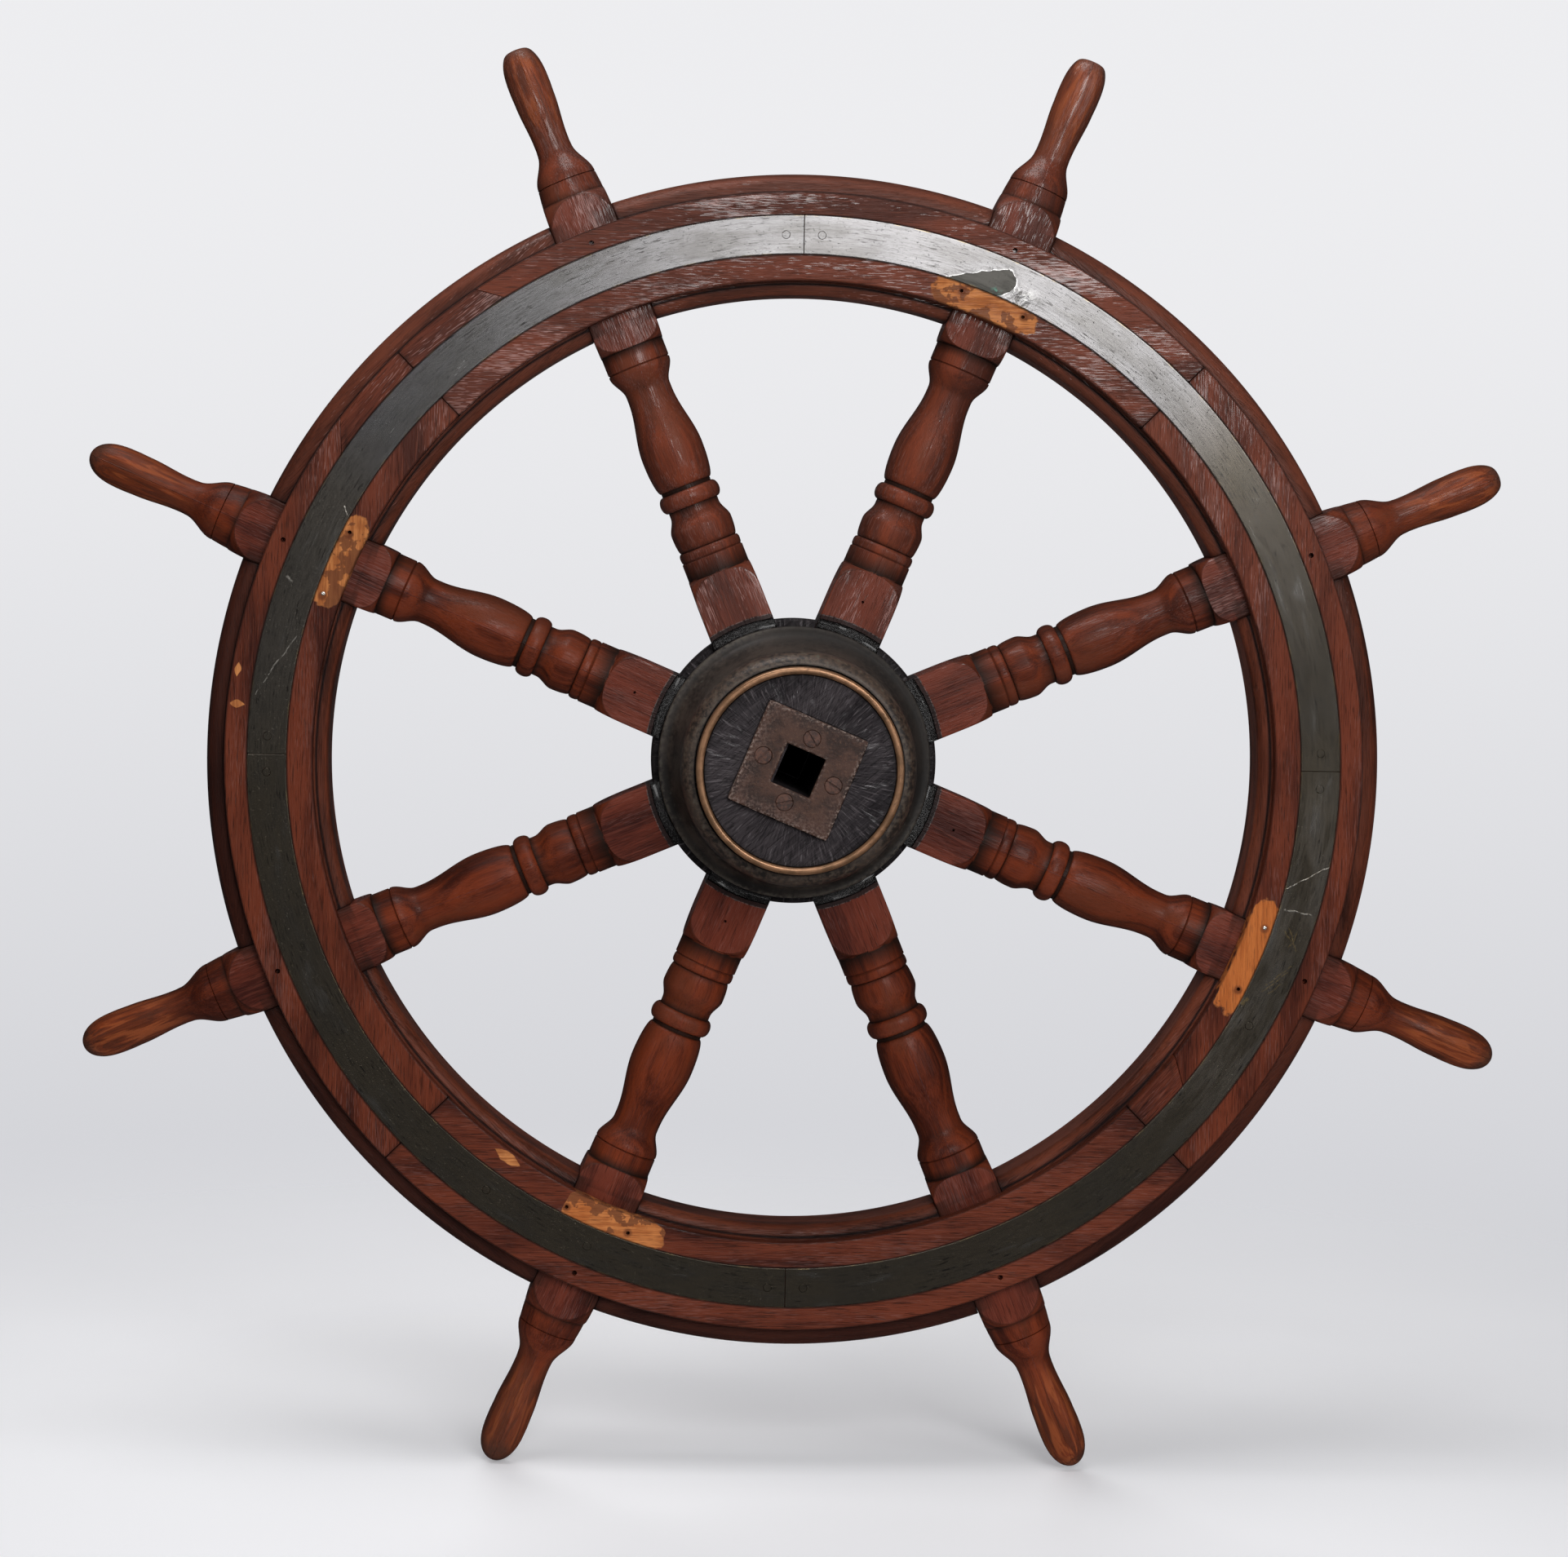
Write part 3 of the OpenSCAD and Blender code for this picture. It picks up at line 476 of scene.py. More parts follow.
def spokeColour(grain, cloud, form, tone, radius, grip):
    tones = woods["spoke"]
    colour = tint(tone, tint(form, tones["dark"], tones["turnedDark"]),
                  tint(form, tones["light"], tones["turnedLight"]))
    flame = fibres(grain, 16, 150, detail=3, bend=1.1)
    colour = tint(grip * 0.35, colour, (0.230, 0.052, 0.016))
    colour = tint(grip * step(flame, 0.50, 0.62) * 0.5, colour, (0.340, 0.085, 0.025))
    colour = tint(grip * step(flame, 0.47, 0.40) * 0.6, colour, (0.060, 0.018, 0.010))
    tip = step(radius + (cloud - 0.5) * 0.03, 0.640, 0.657)
    colour = tint(tip * 0.75, colour, (0.050, 0.026, 0.019))
    return tint(form * step(cloud, 0.54, 0.66) * 0.40, colour, (0.070, 0.026, 0.014))


def spokePitch(spot, radius, rib, colour):  # pitch at the root, with a painted highlight along the rim where it ends
    reached = step(radius + (noise(spot, 240, detail=3) - 0.5) * 0.004, 0.1292, 0.1282)
    colour = tint(reached * 0.9, colour, (0.012, 0.010, 0.010))
    return tint(near(radius, 0.1285, 0.0006) * step(rib, 0.42, 0.56) * 0.5, colour, (0.220, 0.190, 0.180))


def naveRays(place):  # streaks that run out from the middle of the end face
    around = place[0].maths("ARCTAN2", place[1], place[0]) * 0.07
    rolled = around.node("CombineXYZ", {}, {0: around, 1: place[2], 2: 0.0})
    return arcs(rolled, 620, 75, detail=3, rough=0.6, bend=0.6)


def woodLook(kind):
    tones = woods[kind]
    look, start = newLook(kind + "_wood", tones["light"])
    grain, spot, wear = (attribute(start, title) for title in ("grain", "spot", "wear"))
    grimeAndShade, edge, form = split(wear)
    place = placeOf(spot)
    radius = place[2]
    fibre = fibres(grain, 36, 1400, detail=2, rough=0.6)
    rib = fibres(grain, 30, 500, detail=3, rough=0.6)
    layer = noise(stretch(grain, (3.2, 42, 190)), detail=3, bend=0.4)
    cloud = fibres(grain, 9, 26, detail=3)
    dash = fibres(grain, 85, 1250, detail=1)
    pore = step(fibres(grain, 46, 980, detail=2, rough=0.6), tones["open"], tones["open"] - 0.08)
    tone = step(layer * 0.40 + fibre * 0.20 + cloud * 0.40, 0.38, 0.60)
    if kind == "spoke":
        grip = step(radius, 0.556, 0.590)
        colour = spokeColour(grain, cloud, form, tone, radius, grip)
    else:
        colour = tint(tone, tones["dark"], tones["light"])
    colour = tint(step(rib, 0.53, 0.66) * (tones["ribs"] - form * 0.25), colour, tones["rib"])
    colour = tint(pore * (tones["pore"] - form * 0.30), colour, tones["grimeAndShade"])

    # painted highlight: pale flecks for glints on the grain, in clusters, most of them on the lit side
    rest = paintedLightSide["rest"]
    lit = facingWay(place, paintedLightSide["way"], paintedLightSide["wide"], paintedLightSide["soft"]) * (1 - rest) + rest
    cluster = (fibres(grain, 8, 36, detail=2) - 0.5) * 0.5
    paintedGlints = step(dash + cluster * 1.6 + tones["wear"], 0.66, 0.72) * lit * (0.65 - form * 0.5)
    if kind != "nave":
        # painted light: a lighter tint on the side where the light falls
        colour = tint((lit - rest) * 0.14, colour, (0.300, 0.120, 0.085))
        colour = tint(paintedGlints, colour, (0.400, 0.225, 0.200))

    if kind == "facing":
        degrees = wayOf(place)
        bare, stain, orange = barePatches(degrees, radius, spot)
        colour = tint(bare, colour, bareWood(grain, spot, degrees, radius, dash, stain, orange))
        edges = 0.0
        for distance, wide, strength in facingEdges:
            edges = near(radius, distance * mm, wide * mm) * strength + edges
        grimeAndShade = capped(grimeAndShade + edges * (0.35 + fibre * 0.9))
    if kind == "felloe":
        outside = step(radius, 0.4870, 0.4880)
        # painted shade: the outer rounding darker away from the upper right, where less light falls
        paintedLowerShade = 1 - facingWay(place, 62, 62, 50)
        colour = tint(outside * paintedLowerShade * 0.72, colour, (0.018, 0.006, 0.005))
        # painted shadow: dark lines on the felloe just beside the facing's inner and outer edges
        grimeAndShade = capped(grimeAndShade + near(radius, 0.4090, 0.0022) + near(radius, 0.4873, 0.0022))
    colour = tint(edge * step(fibre + cloud, 0.80, 1.15) * 0.6, colour, tones["rib"])
    # grime, with painted shade on the sides of the turned spokes and painted shadow lines on the felloes
    colour = tint(capped(grimeAndShade) * 0.92, colour, tones["grimeAndShade"])
    if kind == "spoke":
        rib = rib * (1 + grip * 1.6)
        colour = spokePitch(spot, radius, rib, colour)

    gloss = step(fibres(grain, 80, 1200, detail=2) + cluster * 1.5 + tones["wear"], 0.565, 0.64)
    gloss = gloss * (1 - capped(grimeAndShade) * 0.7) * (1 - form * 0.55) * (lit * 0.85 + 0.05) * tones["coat"]
    rough = tones["rough"] + paintedGlints * 0.2 + fibre * 0.12 + capped(grimeAndShade) * 0.10
    if kind == "facing":
        rough = rough + bare * 0.30
        gloss = gloss * (1 - bare * 0.9)
    if kind == "nave":
        rays = naveRays(place)
        colour = tint(step(rays, 0.47, 0.38) * 0.6, colour, (0.006, 0.005, 0.006))
        # painted highlight: pale streaks for glints along the gouges
        colour = tint(step(rays, 0.58, 0.66) * 0.6, colour, (0.120, 0.104, 0.110))
        gloss = gloss * 0.6 + step(rays, 0.50, 0.60) * 0.30
        rib = rib + rays * 1.6
    height = rib * (tones["ribs"] * 3.6 - form * 0.9) + fibre * 0.35 - pore * (0.5 - form * 0.3)
    height = height + dash * (0.6 - form * 0.3)
    finish(start, {"Base Color": colour, "Roughness": capped(rough), "Specular IOR Level": 0.11,
                   "Coat Weight": capped(gloss), "Coat Roughness": 0.17}, height, 0.0005, 0.8)
    return look


# Metals and pitch. A scratch on the band runs from one place to another, each a direction in degrees
# and a distance from the axle, and has a half width.
scratches = (((174.3, 0.4655), (171.2, 0.4540), 0.0008), ((171.2, 0.4540), (166.6, 0.4370), 0.0009),
             ((152.0, 0.4345), (151.2, 0.4430), 0.0007), ((161.4, 0.4550), (160.7, 0.4620), 0.0016),
             ((-10.0, 0.4668), (-13.5, 0.4340), 0.0007), ((-15.9, 0.4370), (-15.4, 0.4625), 0.0010))
brassScratches = (((-17.4, 0.4460), (-19.8, 0.4600), 0.0007), ((-17.9, 0.4430), (-18.9, 0.4530), 0.0010),
                  ((-19.7, 0.4520), (-17.2, 0.4560), 0.0007), ((-25.2, 0.4447), (-22.0, 0.4600), 0.0008),
                  ((-24.4, 0.4455), (-21.2, 0.4610), 0.0007), ((-25.6, 0.4500), (-23.4, 0.4580), 0.0006),
                  ((-27.6, 0.4350), (-26.4, 0.4390), 0.0022))
bandRound = 0.45  # the distance from the axle at which the band is rolled out flat


def stroke(flat, start, end, width):  # one scratch, a little wavy
    a, b = ((math.radians(degrees) * bandRound, distance) for degrees, distance in (start, end))
    way = (b[0] - a[0], b[1] - a[1])
    length = math.hypot(*way)
    way = (way[0] / length, way[1] / length)
    u, v, _ = split(flat)
    u, v = u - a[0], v - a[1]
    along = u * way[0] + v * way[1]
    aside = u * way[1] - v * way[0]
    wander = (noise(flat, 70, detail=2) - 0.5) * 0.006
    return near(aside + wander, 0.0, width) * step(abs(along - length / 2), length / 2, length / 2 - 0.002)


def strokes(flat, places):
    total = 0.0
    for start, end, width in places:
        total = stroke(flat, start, end, width) + total
    return capped(total)


# where a film on the band has peeled away beside its inner edge, and the crumpled film left round it
def peeledFilm(flat, degrees, radius, mottle, colour):
    out = radius - 0.4335
    ragged = (noise(flat, 150, detail=4) - 0.5) * 0.005
    under = degrees.maths("MINIMUM", (73.8 - degrees) * 0.0040, 0.0250) - out
    beyond = (degrees - 66.2 - ((out - 0.0140) / 0.0110) ** 2.0 * 0.9) * 0.00785
    peel = degrees.maths("MINIMUM", under, beyond) + ragged
    crumple = arcs(flat, 150, 110, detail=4, bend=1.2)
    film = near(degrees, 64.9, 2.8) * step(out + ragged, 0.021, 0.009)
    lip = near(peel, -0.0003, 0.0010) * step(crumple, 0.40, 0.54)
    shadow = near(peel, -0.0030, 0.0022) * step(crumple, 0.56, 0.48)
    colour = tint(film * step(crumple, 0.50, 0.60) * 0.6, colour, (0.210, 0.208, 0.200))
    colour = tint(film * step(crumple, 0.46, 0.40) * 0.8, colour, (0.028, 0.026, 0.023))
    colour = tint(lip * 0.7, colour, (0.330, 0.325, 0.315))
    colour = tint(shadow * 0.4, colour, (0.045, 0.043, 0.042))
    bare = step(peel, 0.0, 0.0006)
    colour = tint(bare, colour, tint(step(mottle, 0.4, 0.6), (0.020, 0.019, 0.016), (0.048, 0.045, 0.040)))
    green = near(degrees, 67.9, 0.9) * near(out, 0.0040, 0.005) * step(noise(flat, 300, detail=3), 0.48, 0.62)
    return tint(green * 0.6, colour, (0.050, 0.140, 0.105)), bare, film * crumple


def bandLook():
    look, start = newLook("band_patina", (0.2, 0.2, 0.19))
    place = placeOf(attribute(start, "spot"))
    radius, degrees = place[2], wayOf(place)
    flat = start.node("CombineXYZ", {}, {0: degrees * (math.pi / 180 * bandRound), 1: radius, 2: 0.0})
    mottle = arcs(flat, 16, 70, detail=5, rough=0.60, bend=0.4)
    cloud = noise(flat, 13, detail=3)
    brushed = arcs(flat, 30, 1500, detail=2)
    fine = arcs(flat, 60, 700, detail=4, rough=0.65)
    speck = step(arcs(flat, 420, 620, detail=3), 0.65, 0.70)
    # painted reflection: the band lighter towards the top, where it mirrors the light, and darker round 21
    # degrees
    high = facingWay(place, 92, 44, 16) + facingWay(place, 150, 14, 22) * 0.3
    colour = tint(capped(high), (0.090, 0.075, 0.055), (0.130, 0.126, 0.127))
    colour = tint(facingWay(place, 21, 8, 14) * 0.5, colour, (0.034, 0.031, 0.028))
    hazy = facingWay(place, -24, 9, 16) * step(mottle, 0.36, 0.60)
    colour = tint(hazy * 0.45, colour, (0.220, 0.195, 0.165))
    colour = tint(step(mottle * 0.55 + cloud * 0.45, 0.44, 0.60) * 0.40, colour, (0.062, 0.057, 0.050))
    colour = tint(step(mottle, 0.58, 0.72) * 0.30, colour, (0.180, 0.175, 0.170))
    colour = tint(step(fine, 0.50, 0.38) * 0.35, colour, (0.045, 0.042, 0.038))
    brush = step(arcs(flat, 75, 640, detail=3, rough=0.6), 0.56, 0.66)
    colour = tint(brush * step(noise(flat, 38, detail=3), 0.46, 0.56) * 0.8, colour, (0.018, 0.016, 0.015))
    broken = step(noise(flat, 260, detail=3), 0.36, 0.52)
    lines = strokes(flat, scratches)
    colour = tint(strokes(flat, brassScratches) * broken * 0.6, colour, (0.330, 0.235, 0.100))
    colour = tint(lines * broken * 0.9, colour, (0.480, 0.450, 0.400))
    colour = tint(speck * step(cloud, 0.42, 0.55) * 0.8, colour, (0.012, 0.010, 0.009))
    colour, bare, crumpled = peeledFilm(flat, degrees, radius, mottle, colour)
    edges = capped(near(radius, 0.4339, 0.0010) + near(radius, 0.4666, 0.0010))
    edges = edges * step(noise(flat, 60, detail=3), 0.50, 0.62)
    colour = tint(edges * 0.6, colour, (0.240, 0.170, 0.080))
    rough = 0.10 + mottle * 0.13 + brushed * 0.05 + fine * 0.10 + bare * 0.15
    height = mottle + brushed * 0.2 - speck * 0.6 - bare * 0.8 + crumpled * 5.0 + lines * 0.5
    finish(start, {"Base Color": colour, "Metallic": 0.78, "Roughness": capped(rough)}, height, 0.0002, 0.5)
    return look


def bronzeLook():
    look, start = newLook("bell_bronze_patina", (0.05, 0.04, 0.03))
    spot, wear = attribute(start, "spot"), attribute(start, "wear")
    dirtAndShade, edge, crown = split(wear)
    place = placeOf(spot)
    blotch = noise(spot, 34, detail=5, rough=0.6)
    grit = noise(spot, 700, detail=3, rough=0.6)
    fine = noise(spot, 260, detail=4, rough=0.65)
    colour = tint(step(blotch * 0.7 + fine * 0.3, 0.40, 0.58), (0.018, 0.014, 0.012), (0.050, 0.037, 0.029))
    # painted highlight: the bell lighter towards the upper left, where the light falls
    high = facingWay(place, 105, 50, 45)
    colour = tint(high * step(fine, 0.36, 0.60) * 0.4, colour, (0.066, 0.049, 0.041))
    colour = tint(crown * step(fine, 0.40, 0.62) * 0.65, colour, (0.100, 0.060, 0.040))
    colour = tint(step(fine + crown * 0.04, 0.60, 0.72) * 0.5, colour, (0.085, 0.100, 0.080))
    colour = tint(edge * step(fine, 0.42, 0.55), colour, (0.070, 0.060, 0.048))
    # painted shade: the cove darker towards the upper right
    shade = step(place[2], 0.097, 0.106) * facingWay(place, 40, 45, 35)
    colour = tint(shade * 0.7, colour, (0.012, 0.010, 0.009))
    colour = tint(dirtAndShade, colour, (0.008, 0.007, 0.006))
    rough = 0.36 + blotch * 0.14 + grit * 0.10 + shade * 0.2
    finish(start, {"Base Color": colour, "Metallic": 0.12, "Specular IOR Level": 0.34,
                   "Roughness": capped(rough)}, blotch * 0.5 + fine * 0.8 + grit * 0.5, 0.0003, 0.6)
    return look


def brassLook(name, bright, dull, rust, rough):
    look, start = newLook(name, bright)
    spot = attribute(start, "spot")
    blotch = noise(spot, 60, detail=4, rough=0.6)
    grit = noise(spot, 900, detail=3)
    fine = noise(spot, 300, detail=4)
    colour = tint(step(blotch, 0.36, 0.60), dull, bright)
    colour = tint(step(fine, 0.60, 0.72) * 0.6, colour, rust)
    rough = capped(rough + blotch * 0.15 + grit * 0.1)
    finish(start, {"Base Color": colour, "Metallic": 0.60, "Roughness": rough}, fine * 0.8 + grit * 0.4,
           0.0003, 0.5)
    return look


def ironLook():
    look, start = newLook("rusted_iron", (0.08, 0.045, 0.035))
    spot, wear = attribute(start, "spot"), attribute(start, "wear")
    _, edge, dusty = split(wear)
    blotch = noise(spot, 75, detail=5, rough=0.62)
    fine = noise(spot, 420, detail=5, rough=0.65)
    grit = noise(spot, 1500, detail=2)
    colour = tint(step(blotch, 0.36, 0.62), (0.030, 0.015, 0.011), (0.072, 0.034, 0.023))
    colour = tint(step(fine, 0.55, 0.70) * 0.55, colour, (0.150, 0.070, 0.040))
    colour = tint(step(fine, 0.42, 0.34) * 0.6, colour, (0.020, 0.013, 0.012))
    colour = tint(dusty * step(fine, 0.44, 0.60) * 0.50, colour, (0.160, 0.105, 0.090))
    colour = tint(edge * step(fine + grit * 0.2, 0.60, 0.70), colour, (0.260, 0.200, 0.170))
    finish(start, {"Base Color": colour, "Specular IOR Level": 0.25, "Roughness": capped(0.42 + fine * 0.2)},
           fine + grit * 0.4 + blotch * 0.6, 0.0005, 0.8)
    return look


def rustLook(name, dark, bright, metal, rough):
    look, start = newLook(name, bright)
    spot = attribute(start, "spot")
    fine = noise(spot, 380, detail=5, rough=0.65)
    blotch = noise(spot, 120, detail=3)
    colour = tint(step(fine * 0.6 + blotch * 0.4, 0.40, 0.60), dark, bright)
    finish(start, {"Base Color": colour, "Metallic": metal, "Roughness": capped(rough + fine * 0.2)},
           fine, 0.0005, 0.6)
    return look


def pitchLook():
    look, start = newLook("black_pitch", (0.01, 0.01, 0.01))
    spot = attribute(start, "spot")
    lump = noise(spot, 420, detail=4, rough=0.6)
    fine = noise(spot, 1500, detail=2)
    colour = tint(step(fine, 0.62, 0.70) * 0.5, (0.007, 0.006, 0.006), (0.090, 0.075, 0.068))
    finish(start, {"Base Color": colour, "Roughness": capped(0.14 + fine * 0.25), "Coat Weight": 0.3,
                   "Coat Roughness": 0.12}, lump + fine * 0.4, 0.0012, 0.9)
    return look


spokeWood, felloeWood, facingWood, naveWood, plainWood = (woodLook(kind) for kind in woods)
bandMetal, bellBronze, ironRust, pitchBlack = bandLook(), bronzeLook(), ironLook(), pitchLook()
ringBrass = brassLook("nose_ring_brass", (0.310, 0.162, 0.085), (0.195, 0.105, 0.054),
                      (0.080, 0.042, 0.024), 0.20)
boltBronze = brassLook("bolt_bronze", (0.20, 0.15, 0.09), (0.09, 0.07, 0.05), (0.05, 0.07, 0.05), 0.35)
screwRust = rustLook("screw_rust", (0.032, 0.013, 0.009), (0.105, 0.042, 0.025), 0.1, 0.50)
screwSteel = rustLook("screw_steel", (0.16, 0.15, 0.14), (0.34, 0.33, 0.31), 0.8, 0.35)
nailBright = rustLook("bright_nail", (0.45, 0.42, 0.36), (0.80, 0.78, 0.72), 0.9, 0.15)
print("materials made:", len(bpy.data.materials))


# Spokes. A place along the turning is a distance from the axle and then the radius there.
turning = {
    "root": 100.0, "tip": 660.0,
    "recess": 125.0, "recessSeat": 25.575,       # where the flange lies on the spoke
    "square": 41.411,                            # radius that leaves the square alone
    "arris": 0.7,                                # wear taken off the square's corners
    "plain": ((176.5, 27.7), (190.5, 27.65)),    # plain stretch beyond the first arch
    "collar": (192.5, 200.5, 26.95, 24.9, 27.5),  # a small bead: its ends, the radii there, and its crest
    "ball": (216.5, 27.45), "hollow": (232.5, 22.3),
    "bead": (236.5, 251.5, 27.05),               # its ends and its crest
    "groove": (254.5, 22.3), "vase": (285.0, 27.4),
    "neck": (339.0, 343.0, 20.0),                # its ends and its radius
    "swell": (364.0, 27.8), "flat": ((373.0, 27.9), (381.0, 28.0)),
    "shoulder": ((522.0, 27.6), (526.0, 27.2), (534.9, 26.1)),
    "waist": ((535.9, 26.0), (564.8, 15.5), (568.5, 15.2), (572.0, 15.25)),
    "grip": ((612.0, 17.8), (621.0, 18.15)),
    # where each arch at the end of the flats starts and has its top, and how full it is
    "arches": ((148.0, 175.0, 2.7), (403.5, 381.3, 2.9), (488.5, 520.0, 2.1)),
    # how far the flats lie from the spoke's own line, at distances from the axle
    "sides": ((150, half), (175, 27.85), (381, 28.1), (400, half), (498, half), (521.5, 27.75)),
    "nailAt": 149.0,
    "short": (0.6, 4.5, 3.0, 0, 0, 0, 0, 0),     # how much of each tip is worn away
}
widest = half * math.sqrt(2) - turning["arris"]  # the corners of the square, with their wear


def blendTo(a, b, t):
    return a + (b - a) * t


def wave(a, b, steps=16):  # leaves a and comes into b level
    return [[blendTo(a[0], b[0], k / steps), blendTo(a[1], b[1], (1 - math.cos(math.pi * k / steps)) / 2)]
            for k in range(1, steps + 1)]


def quarterTurns(steps):
    return [math.pi / 2 * k / steps for k in range(1, steps + 1)]


def quick(a, b, steps=12):  # leaves a steeply and comes into b level
    return [[blendTo(a[0], b[0], 1 - math.cos(v)), blendTo(a[1], b[1], math.sin(v))]
            for v in quarterTurns(steps)]


def slow(a, b, steps=12):  # leaves a level and comes into b steeply
    return [[blendTo(a[0], b[0], math.sin(v)), blendTo(a[1], b[1], 1 - math.cos(v))]
            for v in quarterTurns(steps)]


def bead(a, b, crest, steps=9):
    top = [(a[0] + b[0]) / 2, crest]
    return quick(a, top, steps) + slow(top, b, steps)


def scribe(a, width):  # a thin groove that starts at a
    return [[a[0] + width / 2, a[1] - 1.1], [a[0] + width, a[1]]]


def sideAt(x):
    return np.interp(x, *zip(*turning["sides"]))


def arch(start, tip, full):  # ends the flats in an arch, the fuller the squarer
    line = []
    for u in [0] + quarterTurns(20):
        x = blendTo(start, tip, math.sin(u) ** (2 / full))
        line.append([x, math.hypot(sideAt(x), half * abs(math.cos(u)) ** (2 / full))])
    return line


def spokeOutline():  # [distance from the axle, radius] from the square at the nave to the tip
    square, arches, waist = turning["square"], turning["arches"], turning["waist"]
    line = [[x, square] for x in (126.0, 129.0, 134.0, 140.0, 146.5)] + arch(*arches[0])
    line += list(turning["plain"]) + scribe(turning["plain"][1], 2)
    x0, x1, r0, r1, crest = turning["collar"]
    line[-1] = [x0, r0]
    line += bead([x0, r0], [x1, r1], crest, 7) + quick([x1, r1], turning["ball"])
    line += wave(turning["ball"], turning["hollow"])
    x0, x1, crest = turning["bead"]
    low = turning["hollow"][1]
    line += [[x0, low]] + bead([x0, low], [x1, low], crest) + [turning["groove"]]
    line += quick(turning["groove"], turning["vase"], 14)
    x0, x1, low = turning["neck"]
    line += wave(turning["vase"], [x0, low], 22) + [[x1, low]]
    line += wave([x1, low], turning["swell"]) + scribe(turning["swell"], 2) + list(turning["flat"])
    line += arch(*arches[1])[::-1] + [[x, square] for x in (405.0, 425.0, 480.0, 487.0)]
    line += arch(*arches[2]) + list(turning["shoulder"]) + scribe(turning["shoulder"][-1], 1)
    line += wave(waist[0], waist[1], 20) + list(waist[2:])
    line += wave(waist[-1], turning["grip"][0], 12) + [turning["grip"][1]]
    end, radius = turning["grip"][1]
    line += [[end + (turning["tip"] - end) * math.sin(v) ** (2 / 3), radius * math.cos(v)]
             for v in quarterTurns(16)[:-1]]
    return np.array([list(place) for place in line])


spokeLine = spokeOutline()
fineX = np.arange(60, 700, 0.25)
fineR = np.interp(fineX, spokeLine[:, 0], spokeLine[:, 1])
meanR = np.convolve(np.pad(fineR, 24, mode="edge"), np.ones(49) / 49, mode="valid")


# how far the surface is from the spoke's own line, at an angle from a face's middle
def reach(radius, phi, side, soft=0.7):
    flat = side / np.cos(phi)
    barrel = np.minimum(radius, widest)
    blunt = np.maximum(soft - np.abs(flat - barrel), 0) / soft
    return np.minimum(flat, barrel) - blunt * blunt * soft / 4


def faceEdge(radius):  # the angle at which the flat of a face gives way to the turned part
    return np.degrees(np.arccos(np.minimum(1, half / np.clip(radius, half, widest))))


def octant(radius):  # angles of the points from a face's middle to just short of its corner
    a = min(max(faceEdge(radius), 3.0), 43.5)
    d = min(1.3, 0.4 * a, 0.4 * (45 - a))
    rest = 45 - a - d
    return np.array([0, 0.5 * a, a - d, a, a + d, a + d + rest / 3, a + d + rest * 2 / 3])


# Rings at the root run round the nave, so that the recess for the flange has a clean round edge.
# There the pitch swells beside the flange, with heights above the seat.
def spokeSolid():
    seat, corner, uncut = turning["recessSeat"], turning["square"], 60.0
    lumps = np.random.default_rng(7)
    pitch = ((turning["root"], 0), (112.0, 0), (116.0, 0), (116.6, 0.9), (118.0, 1.3), (119.6, 1.1),
             (121.2, 1.4), (122.8, 1.2), (124.2, 1.6), (124.9, 1.3))
    rings = [(r, corner, seat + swell) for r, swell in pitch] + [(turning["recess"] + 0.05, corner, uncut)]
    rings += [(x, radius, uncut) for x, radius in spokeLine]
    points = []
    for x, radius, cap in rings:
        base = octant(radius)
        phi = np.concatenate([base, [45.0], 90 - base[:0:-1]])
        phi = np.concatenate([phi + 90 * q for q in range(4)])
        off = np.radians(np.minimum(phi % 90, 90 - phi % 90))
        d = reach(radius, off, sideAt(x))
        y, z = d * np.cos(np.radians(phi)), d * np.sin(np.radians(phi))
        uneven = 0
        if seat < cap < uncut:
            uneven = np.where(abs(z) > cap, lumps.uniform(-0.45, 0.45, len(z)), 0)
        z = np.clip(z, -cap, cap) + uneven
        bend = min(max((150 - x) / 24, 0), 1)
        points.append(np.stack([x - (x - np.sqrt(x * x - y * y)) * bend, y, z], -1))
    count = len(points[0])
    faces = gridFaces(len(rings), count)
    looks = []
    for k in range(len(rings) - 1):
        pitched = max(rings[k][2], rings[k + 1][2]) < uncut and rings[k][0] > 113
        looks += list(np.where((abs(points[k][:, 2]) > seat - 0.1) & pitched, 1, 0))
    last = (len(rings) - 1) * count
    points = np.concatenate(points + [[[turning["tip"], 0, 0]]])
    faces.append(list(range(count))[::-1])
    faces += [[last + k, last + (k + 1) % count, len(points) - 1] for k in range(count)]
    looks += [0] * (count + 1)
    return (points, faces), looks


